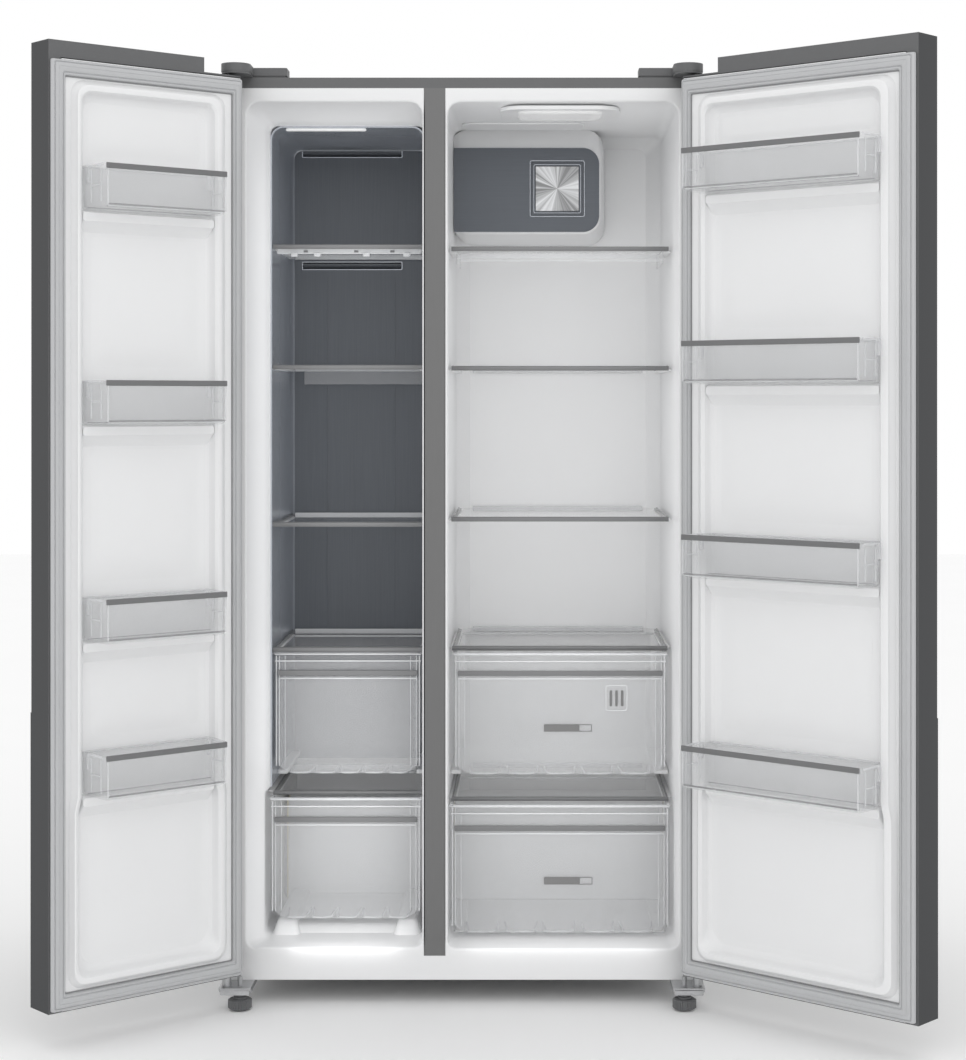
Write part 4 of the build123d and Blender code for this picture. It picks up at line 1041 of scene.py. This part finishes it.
# ---- Doors --------------------------------------------------------------------------------
FLARE_Z = 430.0
FLARE = 7.0  # how much wider the recess is below FLARE_Z
FLANGE_V = 10.0
CREST_V = -6.0
FLOOR_V = 16.0
FOOT_Z = (103.0, 1709.0)
CREST_Z = (112.0, 1700.0)
RECESS_Z = (126.0, 1686.0)
CORE_Z = (114.0, 1706.0)
LOW_R = 34.0  # corner radius at the recess's foot


def panel_outline(u, z, radius, flare=0.0, low_radius=None):
    """A door panel's outline, a little wider below the flare."""
    low_radius = radius if low_radius is None else low_radius
    points = rounded(u, z, (low_radius, low_radius, radius, radius))
    low_right = points[2 * ARC + 1][0]
    low_left = points[0][0]
    half = ARC + 1
    left = [(a - flare, b) for a, b in points[:half]]
    right = [(a + flare, b) for a, b in points[half : 2 * half]]
    steps_right = [(low_right + flare, FLARE_Z - 14), (low_right, FLARE_Z + 14)]
    steps_left = [(low_left, FLARE_Z + 14), (low_left - flare, FLARE_Z - 14)]
    return left + right + steps_right + points[2 * half :] + steps_left


def make_door_liner(name, shape):
    leaf = DOORS[name]
    low, high = leaf.limits(f"{name}_door_liner")
    foot, crest, recess = shape["foot"], shape["crest"], shape["recess"]
    foot_z, crest_z, recess_z = FOOT_Z, CREST_Z, RECESS_Z
    flange = panel_outline((low.x, high.x), (low.z, high.z), 2.0)
    rings = [
        (12.0, flange),
        (FLANGE_V, flange),
        (FLANGE_V, panel_outline(foot, foot_z, 26.0, FLARE - 3)),
        (4.0, panel_outline(inset(foot, 5), inset(foot_z, 3), 25.0, FLARE - 3)),
        (-2.0, panel_outline(inset(foot, 11), inset(foot_z, 7), 24.0, FLARE - 2)),
        (-5.0, panel_outline(inset(crest, -2), crest_z, 24.0, FLARE - 1)),
        (CREST_V, panel_outline(inset(crest, 1), inset(crest_z, 3), 22.0, FLARE)),
        (-5.0, panel_outline(inset(recess, -5), inset(recess_z, -4), 22.0, FLARE)),
        (-1.0, panel_outline(inset(recess, -1), inset(recess_z, -1), 20.0, FLARE)),
        (8.0, panel_outline(recess, recess_z, 20.0, FLARE, LOW_R)),
        (13.0, panel_outline(inset(recess, 3), inset(recess_z, 4), 20.0, FLARE, LOW_R)),
        (FLOOR_V, panel_outline(inset(recess, 10), inset(recess_z, 14), 18.0, FLARE, LOW_R)),
    ]
    back = [(18.0, panel_outline(inset(recess, -4), inset(recess_z, -4), 18.0, FLARE))]
    make(
        f"{name}_door_liner_shell",
        [
            skin(rings[1:] + back + rings[:1], "xz", cyclic=True),
            skin([(15.9, rings[-1][1]), (17.9, rings[-1][1])], "xz"),
        ],
        leaf,
        "white",
        stands_for=(f"{name}_door_liner",),
    )
    skin_high = leaf.limits(f"{name}_door_skin")[1]
    foam = block((1.2, high.x - 0.2), (18.6, skin_high.y - 1.2), CORE_Z, 4.0)
    make(f"{name}_door_foam_core", [foam], leaf, "foam", stands_for=(f"{name}_door_foam",))
    tops = [recess_z[1] + 24]
    tops += [leaf.limits(f"{name}_door_bin_{n}")[0].z for n in range(1, 5)]
    ledges, pillows = [], []
    for number, top in enumerate(tops):
        bottom = tops[number + 1] + 84 if number < 4 else recess_z[0] + 6
        u = inset(recess, 11)
        if number:
            ledges.append(ledge(inset(recess, 1.0), top))
        flare = FLARE if number == 4 else 0.0
        pillows.append(pillow(inset(u, -flare), (bottom + 4, top - 30)))
    make(f"{name}_door_ledges", ledges, leaf, "white")
    make(f"{name}_door_pillows", pillows, leaf, "white")


# Each row: depth v, how far the ledge's top has dropped there, and its height.
LEDGE_STEPS = ((17.0, 0.0, 40.0), (10.0, 0.5, 30.0), (2.0, 1.5, 20.0), (-1.5, 4.0, 15.0))


def ledge(u, top):
    """A soft shelf across the recess, which a bin rests on."""
    rings = []
    for depth, drop, height in LEDGE_STEPS:
        rings.append((depth, rounded(u, (top - drop - height, top - drop), 5.0)))
    return skin(rings, "xz")


PILLOW_RISE = 2.8
PILLOW_SLOPE = 52.0
PILLOW_R = 26.0
PILLOW_STEPS = 8


def pillow(u, z):
    """A broad soft panel that swells slowly out of the recess floor."""
    slope = min(PILLOW_SLOPE, (z[1] - z[0]) * 0.3)
    radius = min(PILLOW_R, slope)
    rings = [(17.5, rounded(u, z, radius))]
    for step in range(PILLOW_STEPS + 1):
        share = step / PILLOW_STEPS
        by = 0.5 + slope * share
        depth = 16.4 - PILLOW_RISE * (1 - cos(share * pi)) / 2
        rings.append((depth, rounded(inset(u, by), inset(z, by), radius * 0.6)))
    return skin(rings, "xz")


# Across the gasket, from its outer to its inner edge: share of the width, height v.
GASKET_RIBS = (
    (0.0, 9.0), (0.02, 4.2), (0.07, 2.6), (0.14, 2.6), (0.17, 4.0),
    (0.20, 4.0), (0.23, 1.4), (0.28, 0.6), (0.44, 0.6), (0.455, 1.2),
    (0.47, 0.6), (0.72, 0.6), (0.76, 1.4), (0.79, 3.6), (0.82, 3.6),
    (0.85, 2.2), (0.92, 2.2), (0.97, 3.8), (1.0, 8.4),
)


def make_gasket(name, shape):
    leaf = DOORS[name]
    outer, hole = shape["gasket"]
    low, high = leaf.limits(f"{name}_door_gasket")
    outer_z, hole_z = (low.z, high.z), (low.z + 28, high.z - 28)

    def ring(share, depth):
        u = tuple(a + share * (b - a) for a, b in zip(outer, hole))
        z = tuple(a + share * (b - a) for a, b in zip(outer_z, hole_z))
        return depth, rounded(u, z, 3.0, 3)

    rings = [ring(share, depth) for share, depth in GASKET_RIBS]
    rings += [ring(1.0, 10.4), ring(0.0, 10.4)]
    make(
        f"{name}_door_gasket_profile",
        [skin(rings, "xz", cyclic=True)],
        leaf,
        "gasket",
        stands_for=(f"{name}_door_gasket",),
    )
    # The heel at the gasket's inner edge is darker vinyl: painted shade in the groove there.
    lip = [ring(1.0, 9.0), ring(1.0, 7.6), ring(1.07, 7.8), ring(1.08, 9.4)]
    make(f"{name}_door_gasket_heel", [skin(lip, "xz", cyclic=True)], leaf, "gasket_painted_shade")


BIN_WALL = 2.4
BIN_CORNER = 8.0
STRIP_OUT = 1.4  # how far the strip stands in front of the bin


def make_bin(name, number, shape):
    node = f"{name}_door_bin_{number}"
    leaf = DOORS[name]
    low, high = leaf.limits(node)
    place = leaf.riding(f"{name}_bin_{number}")
    front_u, back_u = shape["bin_front"], shape["bin_back"]
    lead = shape["bin_lead"]
    front, step, back = low.y + STRIP_OUT + 0.2, -8.0, high.y
    z = (low.z, high.z)

    def outline(by, lean=0.0):
        """The bin's plan: the wider front part, and the part between the dyke's flanks."""
        f = inset(front_u, by + lean)
        b = inset(back_u, by + lean)
        neck = step + by * 0.2
        near = front + by + lean + BIN_CORNER
        points = [(b[0], back - by), (b[0], neck), (f[0], neck - 4)]
        for start, middle in ((180, f[0] + lead + BIN_CORNER), (270, f[1] - BIN_CORNER)):
            points += arc((middle, near), BIN_CORNER, start, start + 90)
        return points + [(f[1], neck - 4), (b[1], neck), (b[1], back - by)]

    shell = skin(
        [
            (z[0], outline(5.0, lean=3.0)),
            (z[0] + 1.5, outline(1.8, lean=3.0)),
            (z[0] + 5.0, outline(0.0, lean=2.6)),
            (z[1], outline(0.0)),
            (z[1], outline(BIN_WALL)),
            (z[0] + 6.5, outline(BIN_WALL, lean=2.6)),
            (z[0] + 3.0, outline(BIN_WALL + 4, lean=3.0)),
        ]
    )
    make(f"{node}_tub", [shell], place, "clear", stands_for=(node,))
    face_u = (front_u[0] + lead, front_u[1])
    strip = block(
        inset(face_u, 4.0), (front - STRIP_OUT, front + 1.6), (z[1] - 9.0, z[1] + 1.0), 0.9, "yz", 0.5
    )
    make(f"{node}_strip", [strip], place, "rail", 0.3)
    # The bin's rails, hooks and edge lines are in the whiter copy of the clear plastic, a painted
    # highlight on real edges.
    bright = []
    for u, way in zip(face_u, (1, -1)):
        # The upright lines near each end of the front are painted highlight alone, where its rounded
        # corners catch the light.
        at = u + way * 7.0
        corner_glint_z = (z[0] + 6, z[1] - 9)
        bright.append(block((at - 1.2, at + 1.2), (front - 0.8, front + 1.5), corner_glint_z, 0.8))
        at = u + way * 0.8
        bright.append(block((at - 0.9, at + 0.9), (front + 7, step - 4), (z[1] - 3.5, z[1]), 0.7))
        end_u = beside(u, way, 1.2, 4.2)
        for v in ((front + 15, front + 17), (step - 14, step - 12)):
            bright.append(block(end_u, v, (z[0] + 12, z[1] - 8), 0.7))
        bright.append(block(end_u, (front + 15, step - 12), (z[0] + 40, z[0] + 42), 0.7))
        hook = beside(u, way, 1.0, 7.0)
        bright.append(block(hook, (step - 6, step + 3), (z[1] - 30, z[1] - 2), 1.5, edge=0.8))
    bright.append(block(inset(back_u, 3), (back - 2.4, back), (z[1] - 3.0, z[1]), 0.8, "yz", 0.3))
    foot_z = (z[0] + 3, z[0] + 5.2)
    bright.append(block(inset(face_u, 9), (front + 2.6, front + 4.2), foot_z, 0.6, "yz", 0.3))
    make(f"{node}_edges", bright, place, "clear_edge_painted_highlight")
    floor_z = (z[0] + 3.2, z[0] + 5.2)
    shade = [
        block(inset(face_u, 8), (front + 1.2, front + 2.6), (z[0] + 5.5, z[0] + 8.5), 0.6, "yz", 0.3),
        block(inset(face_u, 12), (front + 12, front + 13.2), floor_z, 0.5, "yz", 0.2),
        block(inset(back_u, 5), (back - 16, back - 14.8), floor_z, 0.5, "yz", 0.2),
    ]
    make(f"{node}_foot_lines", shade, place, "clear_dark")


DOOR_SHAPES = {
    "freezer": {
        "gasket": ((2.0, 397.0), (21.0, 371.0)),
        "foot": (36.0, 358.0),
        "crest": (54.0, 350.0),
        "recess": (66.0, 340.0),
        "bin_back": (70.0, 336.0),
        "bin_front": (70.0, 336.0),
        "bin_lead": 10.0,
    },
    "fridge": {
        "gasket": ((2.0, 502.0), (21.0, 472.0)),
        "foot": (37.0, 462.0),
        "crest": (54.0, 454.0),
        "recess": (61.0, 436.0),
        "bin_back": (64.0, 432.0),
        "bin_front": (50.0, 443.0),
        "bin_lead": 4.0,
    },
}


# ---- Hinges and feet ----------------------------------------------------------------------
KNURLS = 30
THREADS = 9
THREAD_PITCH = 3.0
THREAD_FROM = 34.0
BRACKET_SCREWS_Y = (20.0, 58.0)
COVER_SCREWS_Y = 30.0


def knurled(centre, radius, z):
    """A wheel with a toothed edge and chamfered faces."""

    def ring(r, tooth):
        points = []
        for k in range(KNURLS * 4):
            depth = tooth if k % 4 in (2, 3) else 0.0
            angle = k * tau / (KNURLS * 4)
            points.append((centre[0] + (r - depth) * cos(angle), centre[1] + (r - depth) * sin(angle)))
        return points

    return skin(
        [
            (z[0], ring(radius - 3, 0)),
            (z[0] + 2.5, ring(radius, 1.6)),
            (z[1] - 2.5, ring(radius, 1.6)),
            (z[1], ring(radius - 4, 0)),
        ]
    )


def make_feet():
    for side in ("left", "right"):
        node = f"levelling_foot_{side}"
        low, high = CABINET.limits(node)
        centre = ((low.x + high.x) / 2, (low.y + high.y) / 2)
        place = CABINET.riding(node)
        wheel = [
            knurled(centre, 22.4, (2.0, 21.0)),
            disc(centre, 17.0, (0.0, 3.0), "xy", 1.0),
            disc(centre, 13.0, (20.5, 25.0), "xy", 1.0),
            disc(centre, 9.5, (24.5, 36.0), "xy", 1.0),
        ]
        make(f"{node}_wheel", wheel, place, "foot", stands_for=(node,))
        thread = []
        for turn in range(THREADS):
            z = THREAD_FROM + turn * THREAD_PITCH
            thread.append(disc(centre, 5.0, (z, z + THREAD_PITCH), "xy", 0.9, 24))
        make(f"{node}_stud", thread, place, "zinc")


def make_hinge_details():
    heads, folds, caps = [], [], []
    for low, high in CABINET.islands("lower_hinge_brackets"):
        x, y, z = pairs(low, high)
        for at_y in BRACKET_SCREWS_Y:
            for at_x in (x[0] + 14, x[1] - 14):
                heads.append(disc((at_x, at_y), 6.0, (z[0], z[0] - 4.0), "xy", 1.2))
        near = ((x[0] + x[1]) / 2 - 8, y[0] + 8)
        heads.append(disc(near, 4.5, (z[0] + 1, z[0] - 3.5), "xy", 1.0))
        lip_z = (z[0] - 9.0, z[0] + 2)
        folds.append(block((x[0] + 3, x[1] - 3), (y[0], y[0] + 2.5), lip_z, 2.0, "xz"))
        for edge in ((x[0], x[0] + 2.5), (x[1] - 2.5, x[1])):
            folds.append(block(edge, (y[0] + 12, y[1] - 8), (z[0] - 7.0, z[0] + 2), 2.0, "yz"))
    make("hinge_bracket_screws", heads, CABINET, "black")
    make("hinge_bracket_folds", folds, CABINET, "zinc", 0.5)
    for low, high in CABINET.islands("hinge_covers"):
        middle = (low.x + high.x) / 2
        way = 1 if middle > 0 else -1
        for at in (middle - way * 34, middle + way * 22):
            caps.append(disc((at, COVER_SCREWS_Y), 7.0, (high.z - 0.5, high.z + 1.0), "xy", 0.6))
            caps.append(disc((at, COVER_SCREWS_Y), 4.0, (high.z + 0.5, high.z + 1.8), "xy", 0.5))
    make("hinge_cover_screws", caps, CABINET, "foot")


# ---- Stage --------------------------------------------------------------------------------
def area_light(name, place, aim, size, power):
    light = bpy.data.lights.new(name, "AREA")
    light.shape = "RECTANGLE"
    light.size, light.size_y = size
    light.energy = power
    lamp = bpy.data.objects.new(name, light)
    bpy.context.scene.collection.objects.link(lamp)
    lamp.location = place
    lamp.rotation_euler = (Vector(aim) - Vector(place)).to_track_quat("-Z", "Y").to_euler()
    lamp.visible_camera = False
    return lamp


CAMERA_AT = (0.091, -4.229, 1.143)
CAMERA_SHIFT = (-0.0462, -0.1226)
FOCAL_LENGTH = 74.38
SENSOR = 36.0
FRONT_WATTS = 9.0
INSIDE_WATTS = 1.0  # the soft light that the lamps give inside each compartment


def make_stage():
    scene = bpy.context.scene
    scene.view_settings.view_transform = "Standard"
    scene.cycles.transparent_max_bounces = 24
    world = bpy.data.worlds.new("studio")
    scene.world = world
    world.use_nodes = True
    world.node_tree.nodes["Background"].inputs["Color"].default_value = (1, 1, 1, 1)
    world.node_tree.nodes["Background"].inputs["Strength"].default_value = 1.0
    bpy.ops.mesh.primitive_plane_add(size=24, location=(0, 0, -0.0005))
    floor = bpy.context.object
    floor.name = "floor"
    floor.data.materials.append(
        finish_material("floor_white", (0.96, 0.96, 0.96), 0.9, vary=0.01, patch=2.0)
    )
    area_light("front_soft", (0.6, -3.4, 2.6), (0, 0, 0.9), (2.4, 2.0), FRONT_WATTS)
    for name, x, wide in (("freezer", -0.265, 0.2), ("fridge", 0.15, 0.36)):
        at, aim = (x, -0.1, 0.85), (x, 0.4, 0.85)
        inside = area_light(f"{name}_inside", at, aim, (wide, 1.5), INSIDE_WATTS)
        inside.visible_glossy = False


def make_camera():
    camera = bpy.data.cameras.new("camera")
    camera.lens = FOCAL_LENGTH
    camera.sensor_width = SENSOR
    camera.shift_x, camera.shift_y = CAMERA_SHIFT
    viewer = bpy.data.objects.new("camera", camera)
    bpy.context.scene.collection.objects.link(viewer)
    viewer.location = CAMERA_AT
    viewer.rotation_euler = (pi / 2, 0, 0)
    bpy.context.scene.camera = viewer


make_camera()
make_stage()
finish_cad_nodes()
grey_trim_backs()
make_liners()
make_freezer_lining()
make_fascia_details()
make_lamps()
for compartment in ("freezer", "fridge"):
    make_shelves(compartment)
make_shelf_extras()
make_supports()
make_drawers()
for door, door_shape in DOOR_SHAPES.items():
    make_door_liner(door, door_shape)
    make_gasket(door, door_shape)
    for bin_number in range(1, 5):
        make_bin(door, bin_number, door_shape)
make_feet()
make_hinge_details()
